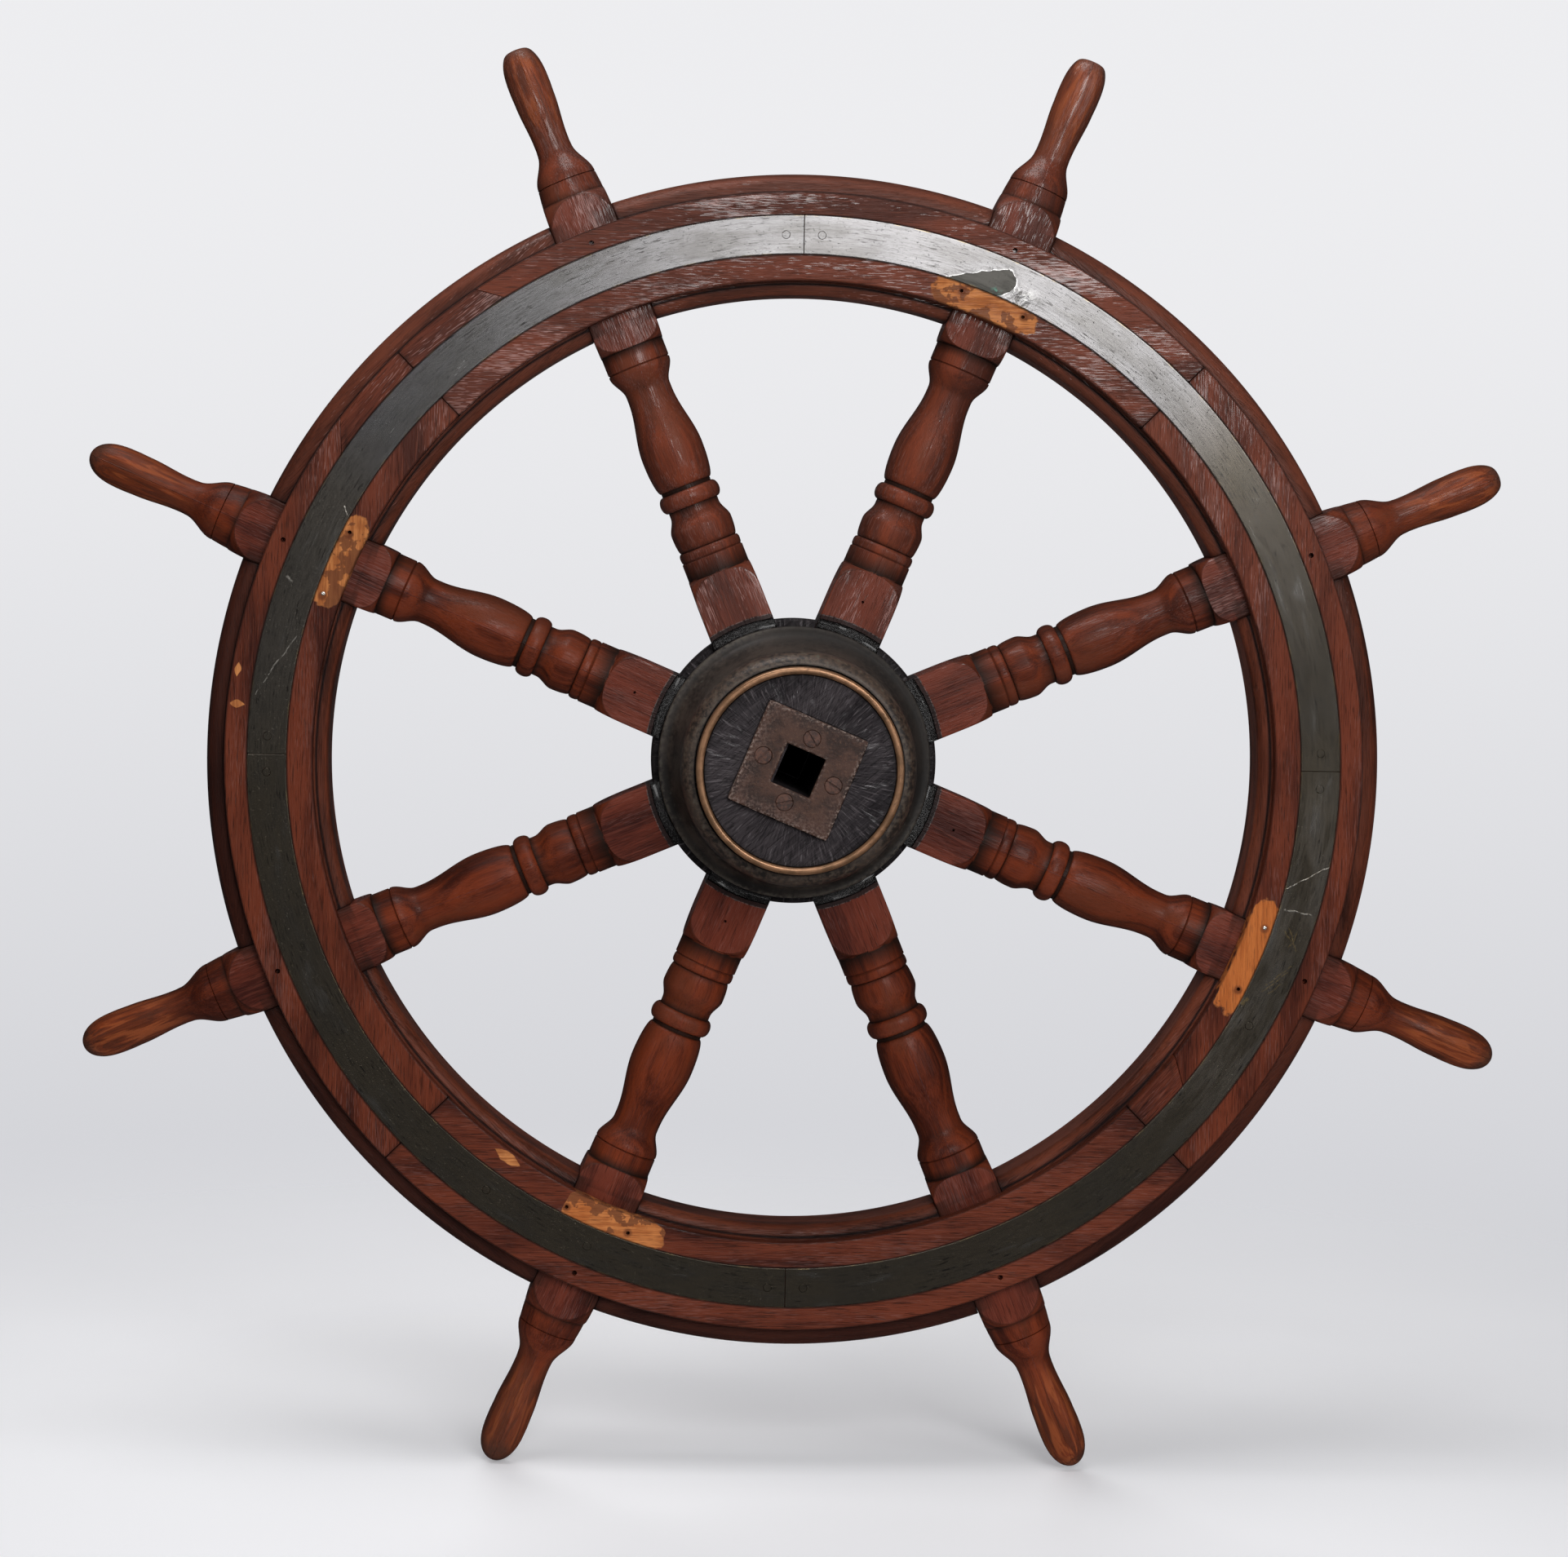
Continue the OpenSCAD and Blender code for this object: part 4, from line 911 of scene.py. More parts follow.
def spokeWear(angle):
    def wearOf(x, y, z):
        p = turned(np.stack([x, y, z], -1), -angle)
        x, y = p[:, 0], p[:, 1]
        radius, mean = np.interp(x, fineX, fineR), np.interp(x, fineX, meanR)
        phi = np.degrees(np.arctan2(z, y)) % 90
        off = np.minimum(phi, 90 - phi)
        beyond = off - faceEdge(radius)          # degrees from the end of the flat
        isTurned = radius < widest - 0.2
        gap = beyond * np.radians(1) * radius
        rounded = np.clip(beyond * 0.6, 0, 1) * isTurned
        arris = np.exp(-(gap / 1.3) ** 2) * (radius > half + 0.1)
        groove = np.clip((mean - radius) / 1.6, 0, 1) * (x > 175) * (x < 570)
        crest = np.clip((radius - mean) / 1.2, 0, 1) * (x > 185) * (x < 560)
        inRim = np.exp(-np.clip(abs(y) - half + 1.4, -9, 0) ** 2 / 2) * (x > 399) * (x < 504)
        # painted shade: the sides of the turned parts, away from the front, darker
        side = np.clip((abs(np.degrees(np.arctan2(y, z))) - 34) / 46, 0, 1) * 0.62
        beside = 0.48 * np.exp(-np.clip(gap, 0, None) / 8.0) * isTurned
        beside = beside * (radius > half + 0.2) * (beyond > 0)
        dirtAndShade = np.maximum(np.maximum(groove, 0.8 * inRim), beside)
        dirtAndShade = np.maximum(dirtAndShade, side * isTurned)
        return np.clip(dirtAndShade, 0, 1), np.clip(arris * 0.8 + crest * 0.55, 0, 1), rounded
    return wearOf


def wornTip(points, short, soft=6):  # the same turning with its end blunted by so many millimetres
    points = points.copy()
    start = turning["tip"] - short - soft
    over = np.maximum(points[:, 0] - start, 0)
    points[:, 0] = np.minimum(points[:, 0], start) + soft * np.tanh(over / soft)
    return points


spoke, spokeLooks = spokeSolid()
for k, angle in enumerate(angles):
    nail = None
    if k % 2 == 1:
        nail = spun(prism(turning["nailAt"], 0, 1.2, half - 6, half + 1, 16), angle)
    short = turning["short"][k]
    solid = (wornTip(spoke[0], short), spoke[1]) if short else spoke
    piece = newPiece(f"turned_spoke_{k + 1}", spun(solid, angle), [spokeWood, pitchBlack],
                     [f"spoke_{k + 1}"], 40, spokeLooks, nail)
    markSurface(piece, angle, 100 + k, spokeWear(angle))
print("spokes turned")


# Rim
rim = {"outerRound": (13.8, 16.6), "innerRound": (9.5, 9.5), "quirk": 1.1, "gap": 0.1}


def quarter(wall, face):  # rounded edge from the wall to the face, as [radius, height]
    return [list(wall)] + quick(wall, face, 14)


def felloeProfile():
    outWide, outHigh = rim["outerRound"]
    inWide, inHigh = rim["innerRound"]
    crown = half - rim["quirk"]
    inner, outer = wheel["rimInner"], wheel["rimOuter"]
    front = quarter([outer, half - outHigh], [outer - outWide, half])
    front += [[470, half], [430, half], [inner + inWide + 0.3, half], [inner + inWide, half - 0.3]]
    front += quarter([inner, crown - inHigh], [inner + inWide, crown])[::-1]
    return front + [[r, -z] for r, z in front[::-1]]


def besideSpoke(angle, side):
    return lambda r: angle + side * np.degrees(np.arcsin((half + rim["gap"]) / r))


# dirt along joints in the rim: their directions, how far it reaches, and where it starts beside them
def nearEnds(joints, wide, edge=0):
    def wearOf(x, y, z):
        grimeAndShade = 0
        for a in joints:
            p = turned(np.stack([x, y, z], -1), -a)
            grimeAndShade = np.maximum(grimeAndShade, np.exp(-np.clip(abs(p[:, 1]) - edge, 0, None) / wide) * (p[:, 0] > 0))
        return grimeAndShade * 0.9, 0 * x, 0 * x
    return wearOf


for k, a in enumerate(angles):
    b = angles[k + 1] if k < 7 else angles[0] + 360
    solid = sweep(felloeProfile(), besideSpoke(a, 1), besideSpoke(b, -1), 0.45, 7.0)
    piece = newPiece(f"rim_felloe_{k + 1}", solid, [felloeWood], [f"felloe_{k + 1}"], 38)
    markSurface(piece, (a + b) / 2 + 90, 200 + k, nearEnds([a, b], 2.2, half))
print("felloes set")


# Facings. A patch has the direction of its radial joint, its length and the lean of its far joint,
# all in degrees. A hole has its distance from the axle, one in a pair its distance aside, and a radius.
facing = {
    "gap": 0.032, "seam": 0.052,                 # half the open joints, in degrees
    "fit": 0.1,                                  # play beside the band
    "bevel": 1.2, "lap": 6.0,
    "patches": {"left": (135.0, 12.6, -3.9), "right": (135.0, -12.7, 2.7), "inner": (315.0, 5.6, 2.7)},
    "outerHole": (475.5, 2.2), "pairHole": (426.0, 28.5, 1.6), "holeDepth": 8.0,
    "plugAside": 38.0, "plugRadius": 5.95, "plugHole": 6.1, "plugDepth": 4.5,
}
inner, outer = wheel["facingInner"], wheel["facingOuter"]
top, floor, bevel = wheel["facingTop"], wheel["bandFloor"], facing["bevel"]
innerSplit, outerSplit = wheel["bandInner"] + facing["lap"], wheel["bandOuter"] - facing["lap"]
grooveIn, grooveOut = wheel["bandInner"] - facing["fit"], wheel["bandOuter"] + facing["fit"]
innerStrip = [[inner, half], [innerSplit, half], [innerSplit, floor], [grooveIn, floor],
              [grooveIn, top - 0.3], [grooveIn - 0.3, top], [grooveIn - 0.8, top], [inner + bevel + 1.0, top],
              [inner + bevel + 0.5, top], [inner + 0.35, top - 0.5], [inner, top - bevel]]
middleStrip = [[innerSplit, half], [outerSplit, half], [outerSplit, floor], [innerSplit, floor]]
outerStrip = [[outerSplit, half], [outer, half], [outer, top - bevel], [outer - 0.35, top - 0.5],
              [outer - bevel - 0.5, top], [outer - bevel - 1.0, top], [grooveOut + 0.8, top],
              [grooveOut + 0.3, top], [grooveOut, top - 0.3], [grooveOut, floor], [outerSplit, floor]]
rearStrip = [[inner, half], [outer, half], [outer, top - bevel], [outer - bevel, top],
             [outer - bevel - 0.6, top], [450, top], [inner + bevel + 0.6, top], [inner + bevel, top],
             [inner, top - bevel]]


def slantedEnd(title):
    joint, length, lean = facing["patches"][title]
    rBand, rEdge = (innerSplit, inner) if title == "inner" else (outerSplit, outer)
    return lambda r: joint + length + lean * (r - rBand) / (rEdge - rBand)


patchEnds = {title: slantedEnd(title) for title in facing["patches"]}


def inQuarter(k, angle):
    return abs((angle - 90 * (k + 1) + 180) % 360 - 180) < 45


def screwHoles(k):
    low, high = top - facing["holeDepth"], top + 1
    solids = []
    for n, a in enumerate(angles):
        if not inQuarter(k, a):
            continue
        r, size = facing["outerHole"]
        solids.append(spun(prism(r, 0, size, low, high, 20), a))
        if n % 2 == 1:
            r, aside, size = facing["pairHole"]
            solids += [spun(prism(r, side * aside, size, low, high, 20), a) for side in (-1, 1)]
    return joined(solids)


def outerEnds(k, start, end):  # the outer strip of two facings stops at a patch
    if k == 0:
        return start, lambda r: patchEnds["right"](r) - facing["seam"]
    if k == 1:
        return lambda r: patchEnds["left"](r) + facing["seam"], end
    return start, end


def innerEnds(k, start, end):  # and the inner strip of one
    if k == 3:
        return lambda r: patchEnds["inner"](r) + facing["seam"], end
    return start, end


plugPlaces = [s + side * math.degrees(math.atan(facing["plugAside"] / wheel["bandMid"]))
              for s in angles for side in (-1, 1)]
gap = facing["gap"]
for k in range(4):
    a, b = 45 + 90 * k, 135 + 90 * k
    start, end = at(a + gap), at(b - gap)
    solid = joined([sweep(innerStrip, *innerEnds(k, start, end)), sweep(middleStrip, start, end),
                    sweep(outerStrip, *outerEnds(k, start, end))])
    piece = newPiece(f"facing_front_{k + 1}", solid, [facingWood], [f"front_facing_{k + 1}"],
                     30, holes=screwHoles(k))
    markSurface(piece, 90 * (k + 1) + 90, 300 + k, nearEnds([a, b], 1.6))
    hole = prism(wheel["bandMid"], 0, facing["plugHole"], top - facing["plugDepth"], top + 1, 32)
    holes = joined([spun(hole, place) for place in plugPlaces if inQuarter(k, place)])
    piece = newPiece(f"facing_rear_{k + 1}", behind(sweep(rearStrip, start, end)), [facingWood],
                     [f"rear_facing_{k + 1}"], 30, holes=behind(holes))
    markSurface(piece, 90 * (k + 1) + 90, 320 + k, nearEnds([a, b], 1.6))

for title, (joint, length, lean) in facing["patches"].items():
    strip = innerStrip if title == "inner" else outerStrip
    ends = [at(joint + math.copysign(gap, length)), patchEnds[title]]
    if length < 0:
        ends = ends[::-1]
    piece = newPiece(f"facing_patch_{title}", sweep(strip, *ends, 0.4, 6.0), [facingWood],
                     [f"{title}_facing_patch"], 30)
    seams = [joint, joint + length + lean / 2]
    markSurface(piece, joint + length / 2 + 90, 340 + len(title), nearEnds(seams, 2.0))

r = facing["plugRadius"]
plug = lathe([[0, top - 4.4], [r - 0.05, top - 4.4], [r, top - 0.4], [r - 0.35, top - 0.15], [0, top - 0.05]],
             32, bore=False)
plugs = joined([spun(moved(plug, wheel["bandMid"], 0), place) for place in plugPlaces])
piece = newPiece("rear_plugs", behind(plugs), [plainWood], ["rear_facing_plugs"], 30)
markSurface(piece, 20, 360)
print("facings laid")


# Metal band. The gap is half an open joint in degrees, pinAside the distance of a pin from its joint
# in millimetres, and the late pins stand alone.
band = {"gap": 0.022, "pin": 3.4, "hole": 3.62, "pinAside": 15.3, "latePins": (235.2, 247.8, 330.9)}
bandInner, bandOuter, bandMid = wheel["bandInner"], wheel["bandOuter"], wheel["bandMid"]
bandStrip = [[bandInner, floor], [bandOuter, floor], [bandOuter, top - 0.35], [bandOuter - 0.3, top - 0.08],
             [bandOuter - 0.7, top], [bandOuter - 1.2, top], [450, top], [bandInner + 1.2, top],
             [bandInner + 0.7, top], [bandInner + 0.3, top - 0.08], [bandInner, top - 0.35]]
pinPlaces = [90 * k + side * math.degrees(math.atan(band["pinAside"] / bandMid))
             for k in range(4) for side in (-1, 1)] + list(band["latePins"])
for k in range(4):
    a = 90 * k
    solid = sweep(bandStrip, at(a + band["gap"]), at(a + 90 - band["gap"]), 0.3, 6.0)
    hole = prism(bandMid, 0, band["hole"], floor - 2, top + 2, 32)
    holes = joined([spun(hole, place) for place in pinPlaces if 0 < (place - a) % 360 < 90])
    piece = newPiece(f"rim_band_{k + 1}", solid, [bandMetal], [f"band_{k + 1}"], 30,
                     holes=holes)
    markSurface(piece, 0, 400 + k)
r = band["pin"]
pin = lathe([[0, top - 17], [r - 0.1, top - 17], [r, top - 1], [r, top - 0.25], [r - 0.25, top - 0.03],
             [0, top]], 32, bore=False)
pins = joined([spun(moved(pin, bandMid, 0), place) for place in pinPlaces])
piece = newPiece("flush_pins", pins, [bandMetal], ["band_pins"], 30)
markSurface(piece, 0, 410)
nail = lathe([[0, top - 6], [1.2, top - 6], [1.25, top - 0.4], [2.3, top - 0.3], [1.9, top - 0.08],
              [1.0, top - 0.01], [0, top]], 20, bore=False)
nails = joined([spun(moved(nail, *facing["pairHole"][:2]), place) for place in (angles[3], angles[7])])
piece = newPiece("facing_nails", nails, [nailBright])
markSurface(piece, 0, 411)
print("band let in")


# Nave, bells and rings
hub = {
    "belt": 122.5, "beltHalf": 17.0, "beltBevel": 2.0, "seat": 112.3, "seatZ": 25.575, "core": 89.8,
    "nose": 79.8, "shoulderZ": 125.0,
    "bore": 89.9, "flange": 116.3, "edge": 12.4, "edgeRound": 2.0, "brim": 4.0,
    "neck": 96.2, "lip": 98.4, "lipH": 92.0, "bellH": 110.0, "mouth": 88.4, "mouthT": 1.4,
    "ring": 86.0, "ringBore": 79.9, "ringTop": 150.0, "ringRound": 2.4,
    "house": 99.9,                               # how near the axle the square of a spoke comes
    "tenon": (69.9, 40.2, 30.2),                 # how near its tenon comes, its width and height
    "shaft": 17.5,                               # half the square hole of the shaft
    "plateBed": (45.3, -2.2, 1.5),               # half the bed of a plate, its shift in front, its depth
    "bolt": (107.5, 7.1, 37.975),                # how far out a bolt hole is, its radius, and where it starts
}
naveTop = wheel["noseFace"]
# gouge marks on the end face: their number, and how deep the deepest is
gouges = {"count": 54, "deep": 1.5, "deepestWay": 50}


def naveSolid():
    marks = np.random.default_rng(21)
    rows = [[hub["belt"], 0], [hub["belt"], 8], [hub["belt"], hub["beltHalf"] - hub["beltBevel"]],
            [hub["belt"] - hub["beltBevel"], hub["beltHalf"]], [hub["seat"], hub["beltHalf"]],
            [hub["seat"], hub["seatZ"]], [hub["core"], hub["seatZ"]], [hub["core"], hub["shoulderZ"]],
            [hub["nose"], hub["shoulderZ"]], [hub["nose"], naveTop - 1.2], [hub["nose"] - 0.5, naveTop - 0.4]]
    rows += [[r, naveTop] for r in np.linspace(79.0, 44.0, 26)]
    full = rows + [[17.0, naveTop], [17.0, -naveTop]] + [[r, -z] for r, z in rows[:0:-1]]
    points, faces = lathe(full, 288)
    r = np.hypot(points[:, 0], points[:, 1])
    a = np.arctan2(points[:, 1], points[:, 0])
    onFace = (abs(points[:, 2]) > naveTop - 0.01) & (r > 43) & (r < 79.5)
    # gouge marks that run out from the middle, deepest at the upper right
    deep = 0.55 + 0.45 * np.cos(a - math.radians(gouges["deepestWay"]))
    cuts = np.zeros(len(points))
    for _ in range(gouges["count"]):
        where, wide = marks.uniform(-math.pi, math.pi), marks.uniform(0.018, 0.05)
        r0, r1, lean = marks.uniform(44, 68), marks.uniform(70, 80), marks.uniform(-0.006, 0.006)
        off = (a - where - lean * (r - 60) + math.pi) % (2 * math.pi) - math.pi
        along = np.clip((r - r0) / 5, 0, 1) * np.clip((r1 - r) / 3, 0, 1)
        cuts = np.maximum(cuts, np.clip(1 - (off / wide) ** 2, 0, 1) * along * marks.uniform(0.5, 1.0))
    points[:, 2] -= np.sign(points[:, 2]) * onFace * cuts * deep * gouges["deep"]
    return points, faces


def aroundNave(solid):
    return joined([spun(solid, a) for a in angles])


side = half + 0.1
housings = aroundNave(block(hub["house"], 130, -side, side, -half - 1, half + 1))
root, tenonWide, tenonHigh = hub["tenon"]
tenons = aroundNave(block(root, 101, -tenonWide / 2, tenonWide / 2, -tenonHigh / 2, tenonHigh / 2))
bed, shift, sunk = hub["plateBed"]
beds = [block(-bed + shift, bed + shift, -bed, bed, naveTop - sunk, naveTop + 2),
        block(-bed, bed, -bed, bed, -naveTop - 2, -naveTop + sunk)]
s = hub["shaft"]
shaftHole = block(-s, s, -s, s, -naveTop - 1, naveTop + 1)
nave = newPiece("nave_body", naveSolid(), [naveWood], ["nave_core"], 40, holes=housings)
carve(nave, joined([tenons] + [spun(solid, wheel["plateTurn"]) for solid in beds]))
carve(nave, spun(shaftHole, wheel["plateTurn"]))
smooth(nave, 40)


def naveWear(x, y, z):
    r = np.hypot(x, y)
    grimeAndShade = np.exp(-abs(r - hub["nose"]) / 1.5) * (abs(z) > 140) + 0.6 * (r > 100)
    edge = 0.4 * (abs(z) < naveTop - 0.35) * (abs(z) > naveTop - 3) * (r < 79)
    return np.clip(grimeAndShade, 0, 1), edge, 0 * x


markSurface(nave, 40, 500, naveWear)


def bellProfile():
    base = hub["seatZ"]
    edgeZ, lipZ, mouthZ = base + hub["edge"], base + hub["lipH"], base + hub["bellH"]
    brim = hub["flange"] - hub["brim"]
    neckZ = blendTo(edgeZ, lipZ, 0.78)
    rounding = hub["edgeRound"]
    line = [[hub["bore"], base], [hub["flange"] - 0.5, base], [hub["flange"], base + 0.5]]
    line += [[hub["flange"] - rounding * (1 - math.cos(v)), edgeZ - rounding * (1 - math.sin(v))]
             for v in [0] + quarterTurns(6)]
    line += [[brim, edgeZ]] + slow([brim, edgeZ], [hub["neck"], neckZ], 32)
    line += [[r, z] for z, r in wave([neckZ, hub["neck"]], [lipZ, hub["lip"]], 10)]
    line += quick([hub["lip"], lipZ], [hub["mouth"], mouthZ], 20)
    inside = hub["mouth"] - hub["mouthT"]
    return line + [[inside + 0.4, mouthZ], [inside, mouthZ - 0.4], [inside, hub["shoulderZ"]],
                   [hub["bore"], hub["shoulderZ"]]]


def bellWear(x, y, z):
    r, z = np.hypot(x, y), abs(z)
    # darker at the foot, with painted shade in the crease inside the brim and inside the mouth
    dirtAndShade = 0.7 * np.exp(-np.clip(z - 25.6, 0, 99) / 2.5) + np.exp(-abs(z - 38.5) / 1.2) * (r < 113.5) * 0.5
    dirtAndShade = np.maximum(dirtAndShade, (r < hub["mouth"] - 0.5) * (z > 100) * 1.0)
    edge = np.exp(-((z - 37.2) / 1.3) ** 2) * (r > 113.5) + 0.35 * np.exp(-((z - 135.2) / 0.6) ** 2)
    edge = edge + 0.30 * np.exp(-((z - 117.5) / 3.0) ** 2)
    crown = np.clip((z - 119) / 8, 0, 1)
    return np.clip(dirtAndShade, 0, 1), np.clip(edge, 0, 1), crown


def ringProfile():
    bore, outside, low = hub["ringBore"], hub["ring"], hub["shoulderZ"]
    wide, high = hub["ringRound"], hub["ringTop"]
    edge = [[wide * (1 - math.cos(v)), high - wide * (1 - math.sin(v))] for v in [0] + quarterTurns(9)]
    return ([[bore, low], [outside, low]] + [[outside - r, z] for r, z in edge]
            + [[bore + r, z] for r, z in edge[::-1]])


r, size, low = hub["bolt"]
boltHoles = aroundNave(prism(r, 0, size, low, 150, 32))
for side in ("front", "rear"):
    bell = newPiece(f"bell_{side}", onSide(side, lathe(bellProfile(), 224)), [bellBronze],
                    [f"{side}_hub_flange"], 30,
                    holes=behind(boltHoles) if side == "rear" else None)
    markSurface(bell, 0, 510, bellWear)
    ring = newPiece(f"nose_ring_{side}", onSide(side, lathe(ringProfile(), 224)), [ringBrass],
                    [f"{side}_nose_ring"], 30)
    markSurface(ring, 0, 512)
print("nave and bells in place")


# Shaft plates with their screws. Slot is half the width of a screw's slot, and turns are in degrees.
plate = {"half": 44.5, "low": 145.5, "high": 155.0, "screwX": 31.5, "screwY": 28.5,
         "head": 6.95, "sink": 7.6, "shank": 3.4,
         "slot": 0.9, "slotDepth": 1.6, "slotTurns": (-10, 67, -37, 34)}


def plateSolid(seed):
    rough = np.random.default_rng(seed)
    perSide, size = 26, plate["half"]
    low, high, hole = plate["low"], plate["high"], hub["shaft"]
    rows = [(hole, low), (size - 0.4, low), (size, low + 0.6), (size, high - 1.3), (size - 0.25, high - 0.6),
            (size - 0.8, high - 0.15), (size - 1.7, high)]
    rows += [(s, high) for s in np.linspace(size - 4, hole + 3, 9)] + [(hole + 0.9, high), (hole, high - 0.9)]
    t = np.linspace(-1, 1, perSide, endpoint=False)
    one = np.ones_like(t)
    loop = np.concatenate([np.stack(p, -1) for p in ((one, t), (-t, one), (-one, -t), (t, -one))])
    corner = np.isclose(abs(loop[:, 0]), 1) & np.isclose(abs(loop[:, 1]), 1)
    loop[corner] *= 0.988
    wobble = rough.normal(0, 1, len(loop))
    wobble = (wobble + np.roll(wobble, 1) + np.roll(wobble, -1)) / 3
    points = []
    for s, z in rows:
        amount = 0.30 if s > size - 3 and z > low + 1 else 0.0
        ring = loop * (s - abs(wobble) * amount)[:, None]
        dip = -abs(rough.normal(0, 0.10, len(loop))) if z > high - 1 else np.zeros(len(loop))
        points.append(np.concatenate([ring, (z + dip)[:, None]], 1))
    return np.concatenate(points), gridFaces(len(rows), len(loop), wrapRows=True)


def plateWear(shift):
    def wearOf(x, y, z):
        p = turned(np.stack([x, y, z], -1), -wheel["plateTurn"])
        out = np.maximum(abs(p[:, 0] - shift), abs(p[:, 1]))
        edge = np.clip((out - 41.5) / 2.5, 0, 1) + 0.5 * np.clip((20 - out) / 2, 0, 1)
        dusty = np.clip((out - 29) / 12, 0, 1) * np.clip(0.75 - 0.012 * (p[:, 0] + p[:, 1]), 0.15, 1)
        return 0 * x, np.clip(edge, 0, 1) * (abs(z) > 150), dusty
    return wearOf


high, shank, headR, sinkR = plate["high"], plate["shank"], plate["head"], plate["sink"]
sink = lathe([[0, high - 12], [shank, high - 12], [shank, high - 4.4], [sinkR, high - 0.5], [sinkR, high + 1],
              [0, high + 1]], 40, bore=False)
head = lathe([[0, high - 50], [shank - 0.2, high - 49], [shank - 0.2, high - 4.3], [headR, high - 0.9],
              [headR, high - 0.35], [headR - 0.2, high - 0.20], [headR - 0.55, high - 0.18],
              [3.0, high - 0.05], [0, high - 0.02]], 40, bore=False)
slot = block(-8, 8, -plate["slot"], plate["slot"], high - plate["slotDepth"], high + 1)
screwSpots = ((plate["screwX"], 0), (-plate["screwX"], 0), (0, plate["screwY"]), (0, -plate["screwY"]))
for side, shift, seed in (("front", hub["plateBed"][1], 31), ("rear", 0.0, 32)):
    places = [(x + shift, y) for x, y in screwSpots]
    sinks = joined([moved(sink, *place) for place in places])
    heads = joined([moved(head, *place) for place in places])
    slots = joined([moved(spun(slot, turn), *place) for turn, place in zip(plate["slotTurns"], places)])
    iron, sinks, heads, slots = (onSide(side, spun(solid, wheel["plateTurn"]))
                                 for solid in (moved(plateSolid(seed), shift, 0), sinks, heads, slots))
    piece = newPiece(f"iron_plate_{side}", iron, [ironRust], [f"{side}_shaft_plate"], 30,
                     holes=sinks)
    markSurface(piece, 0, 520, plateWear(shift))
    piece = newPiece(f"plate_screw_set_{side}", heads, [screwRust], [f"{side}_plate_screws"],
                     30, holes=slots)
    markSurface(piece, 0, 522)
print("plates screwed down")


# Pieces of the frame that stay as they are and only get their finish
kept = {"hub_bolts": boltBronze, "front_facing_screws": screwSteel, "rear_facing_screws": screwSteel,
        "felloe_dowels": plainWood}
for node, look in kept.items():
    for place in frame["nodes"][node].material_slots:
        place.material = look
print("kept pieces given their finish:", len(kept))


# Floor, light and camera
floorSize = 4  # metres from the middle to an edge
floorLook, start = newLook("pale_floor", (0.8, 0.8, 0.8))
spot = start.node("TexCoord", {}, {}, out=3)
distance = placeOf(spot)[2]
paleShade = start.node("BsdfPrincipled", {}, {
    "Base Color": tint(noise(spot, 3, detail=4), (0.80, 0.80, 0.82), (0.84, 0.84, 0.86)), "Roughness": 0.6,
    "Emission Color": (0.96, 0.96, 1.0, 1), "Emission Strength": 0.20
})
clear = start.node("BsdfTransparent")
start.node("OutputMaterial", {}, {"Surface": start.node("MixShader", {}, {
    0: step(distance, 0.5, 1.9), 1: paleShade, 2: clear
})})
floorMesh = bpy.data.meshes.new("pale_floor")
floorZ = cadBox[0][2] - 0.0005
floorCorners = [(x * floorSize, y * floorSize, floorZ) for x, y in ((-1, -1), (1, -1), (1, 1), (-1, 1))]
floorMesh.from_pydata(floorCorners, [], [[0, 1, 2, 3]])
floorPiece = bpy.data.objects.new("pale_floor", floorMesh)
floorMesh.materials.append(floorLook)
scene.collection.objects.link(floorPiece)
floorPiece.visible_glossy = False  # so that the varnish doesn't mirror it


# painted shade: a black card deep in the bore, so that no light comes through it
cardLook, start = newLook("black_card", (0.002, 0.002, 0.002))
finish(start, {"Base Color": (0.002, 0.002, 0.002, 1), "Roughness": 0.9, "Specular IOR Level": 0.0})
s = hub["shaft"] - 0.1
cardSolid = spun(block(-s, s, -s, s, -96, -95), wheel["plateTurn"])
card = bpy.data.objects.new("bore_shade_card", meshOf("bore_shade_card", cardSolid))
card.data.materials.append(cardLook)
scene.collection.objects.link(card)


def softLight(name, place, aim, size, power):
    lamp = bpy.data.lights.new(name, "AREA")
    lamp.shape = "RECTANGLE"
    lamp.size, lamp.size_y = size
    lamp.energy = power
    holder = bpy.data.objects.new(name, lamp)
    holder.location = place
    holder.rotation_euler = (Vector(aim) - Vector(place)).to_track_quat("-Z", "Y").to_euler()
    scene.collection.objects.link(holder)


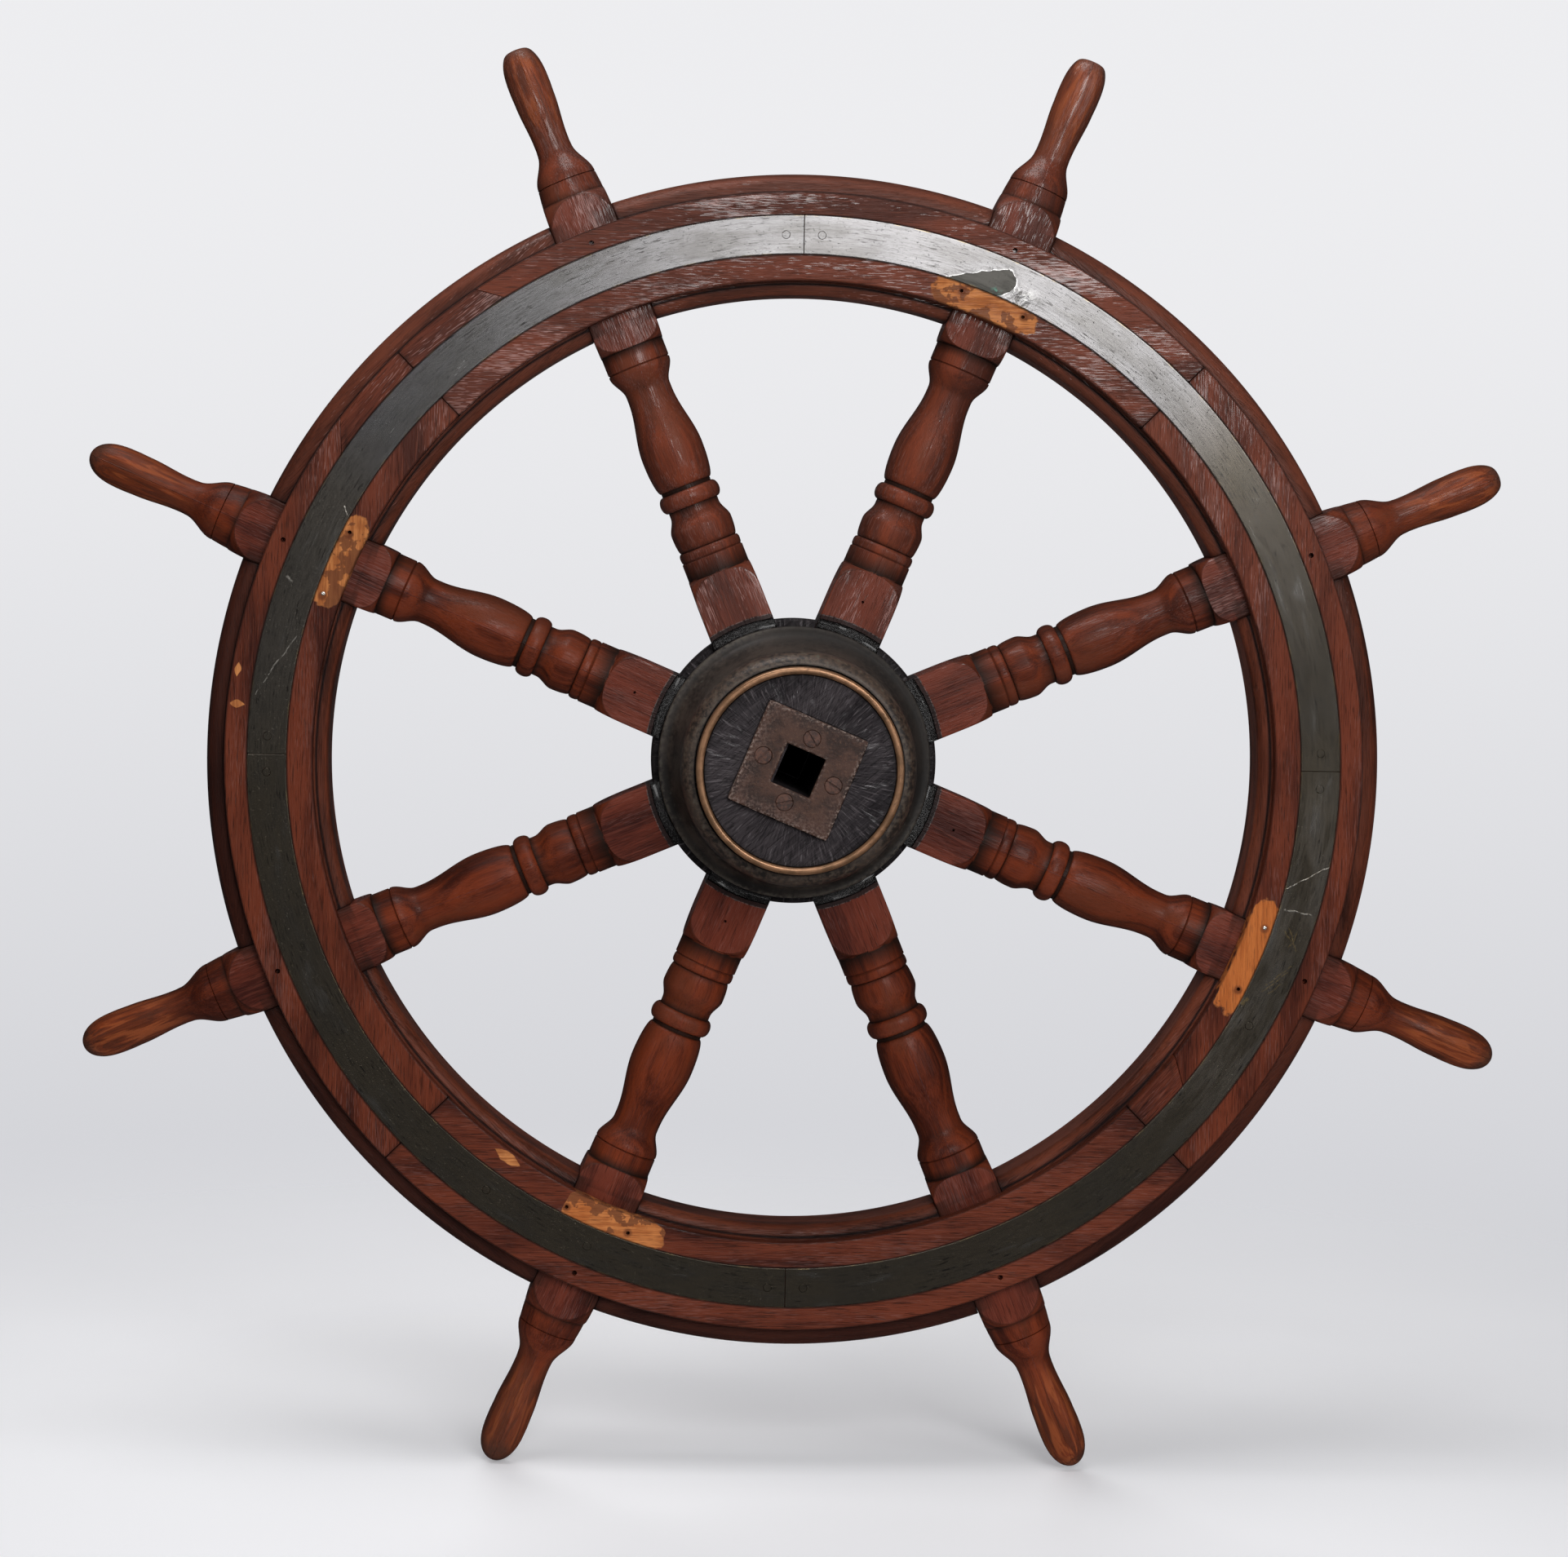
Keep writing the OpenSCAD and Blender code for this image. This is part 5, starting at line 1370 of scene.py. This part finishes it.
lights = {  # place, aim, width and height in metres, watts
    "key_softbox": ((0.79, -3.6, 1.36), (0.79, 0, 1.36), (1.8, 1.8), 92),
    "top_softbox": ((-0.45, -0.5, 2.4), (0, 0, 0), (1.8, 1.2), 40),
    "left_fill": ((-2.6, -2.2, 0.6), (0, 0, 0), (1.4, 1.8), 9),
    "right_fill": ((2.6, -1.9, 0.2), (0, 0, 0), (1.0, 1.4), 8),
    "rear_softbox": ((-0.7, 3.3, 1.0), (0, 0, 0.1), (2.2, 1.8), 56),
}
for title, settings in lights.items():
    softLight(title, *settings)
# it lights the back without a glint on the edges in front
scene.objects["rear_softbox"].visible_glossy = False

world = bpy.data.worlds.new("pale_studio")
scene.world = world
world.use_nodes = True
world.node_tree.nodes.clear()
sky = Wire(world.node_tree)
seen = sky.node("LightPath")
way = sky.node("TexCoord", {}, {}, out=0)
# painted shade: the backdrop darker towards the bottom
backdrop = tint(step(split(way)[2], -0.30, 0.12), (0.600, 0.605, 0.640), (0.850, 0.850, 0.870))
colour = tint(seen, (0.05, 0.05, 0.052), backdrop)
sky.node("OutputWorld", {}, {"Surface": sky.node("Background", {}, {"Color": colour, "Strength": 1.0})})
scene.view_settings.view_transform = "Standard"

view = {
    "place": (-0.142, -3.184, 0.199), "azimuth": 0.77, "elevation": 1.07, "roll": 1.007,
    "lens": 84.69, "shift": (0.0659, -0.1161),
}


def placeCamera():
    camera = bpy.data.cameras.new("camera")
    camera.lens, camera.sensor_width, camera.sensor_fit = view["lens"], 36, "HORIZONTAL"
    camera.shift_x, camera.shift_y = view["shift"]
    holder = bpy.data.objects.new("camera", camera)
    scene.collection.objects.link(holder)
    az, el = math.radians(view["azimuth"]), math.radians(view["elevation"])
    ahead = Vector((math.sin(az) * math.cos(el), math.cos(az) * math.cos(el), -math.sin(el)))
    level = ahead.to_track_quat("-Z", "Y").to_matrix().to_4x4()
    roll = Matrix.Rotation(math.radians(view["roll"]), 4, "Z")
    holder.matrix_world = Matrix.Translation(view["place"]) @ level @ roll
    scene.camera = holder


placeCamera()
print("lights and camera placed")
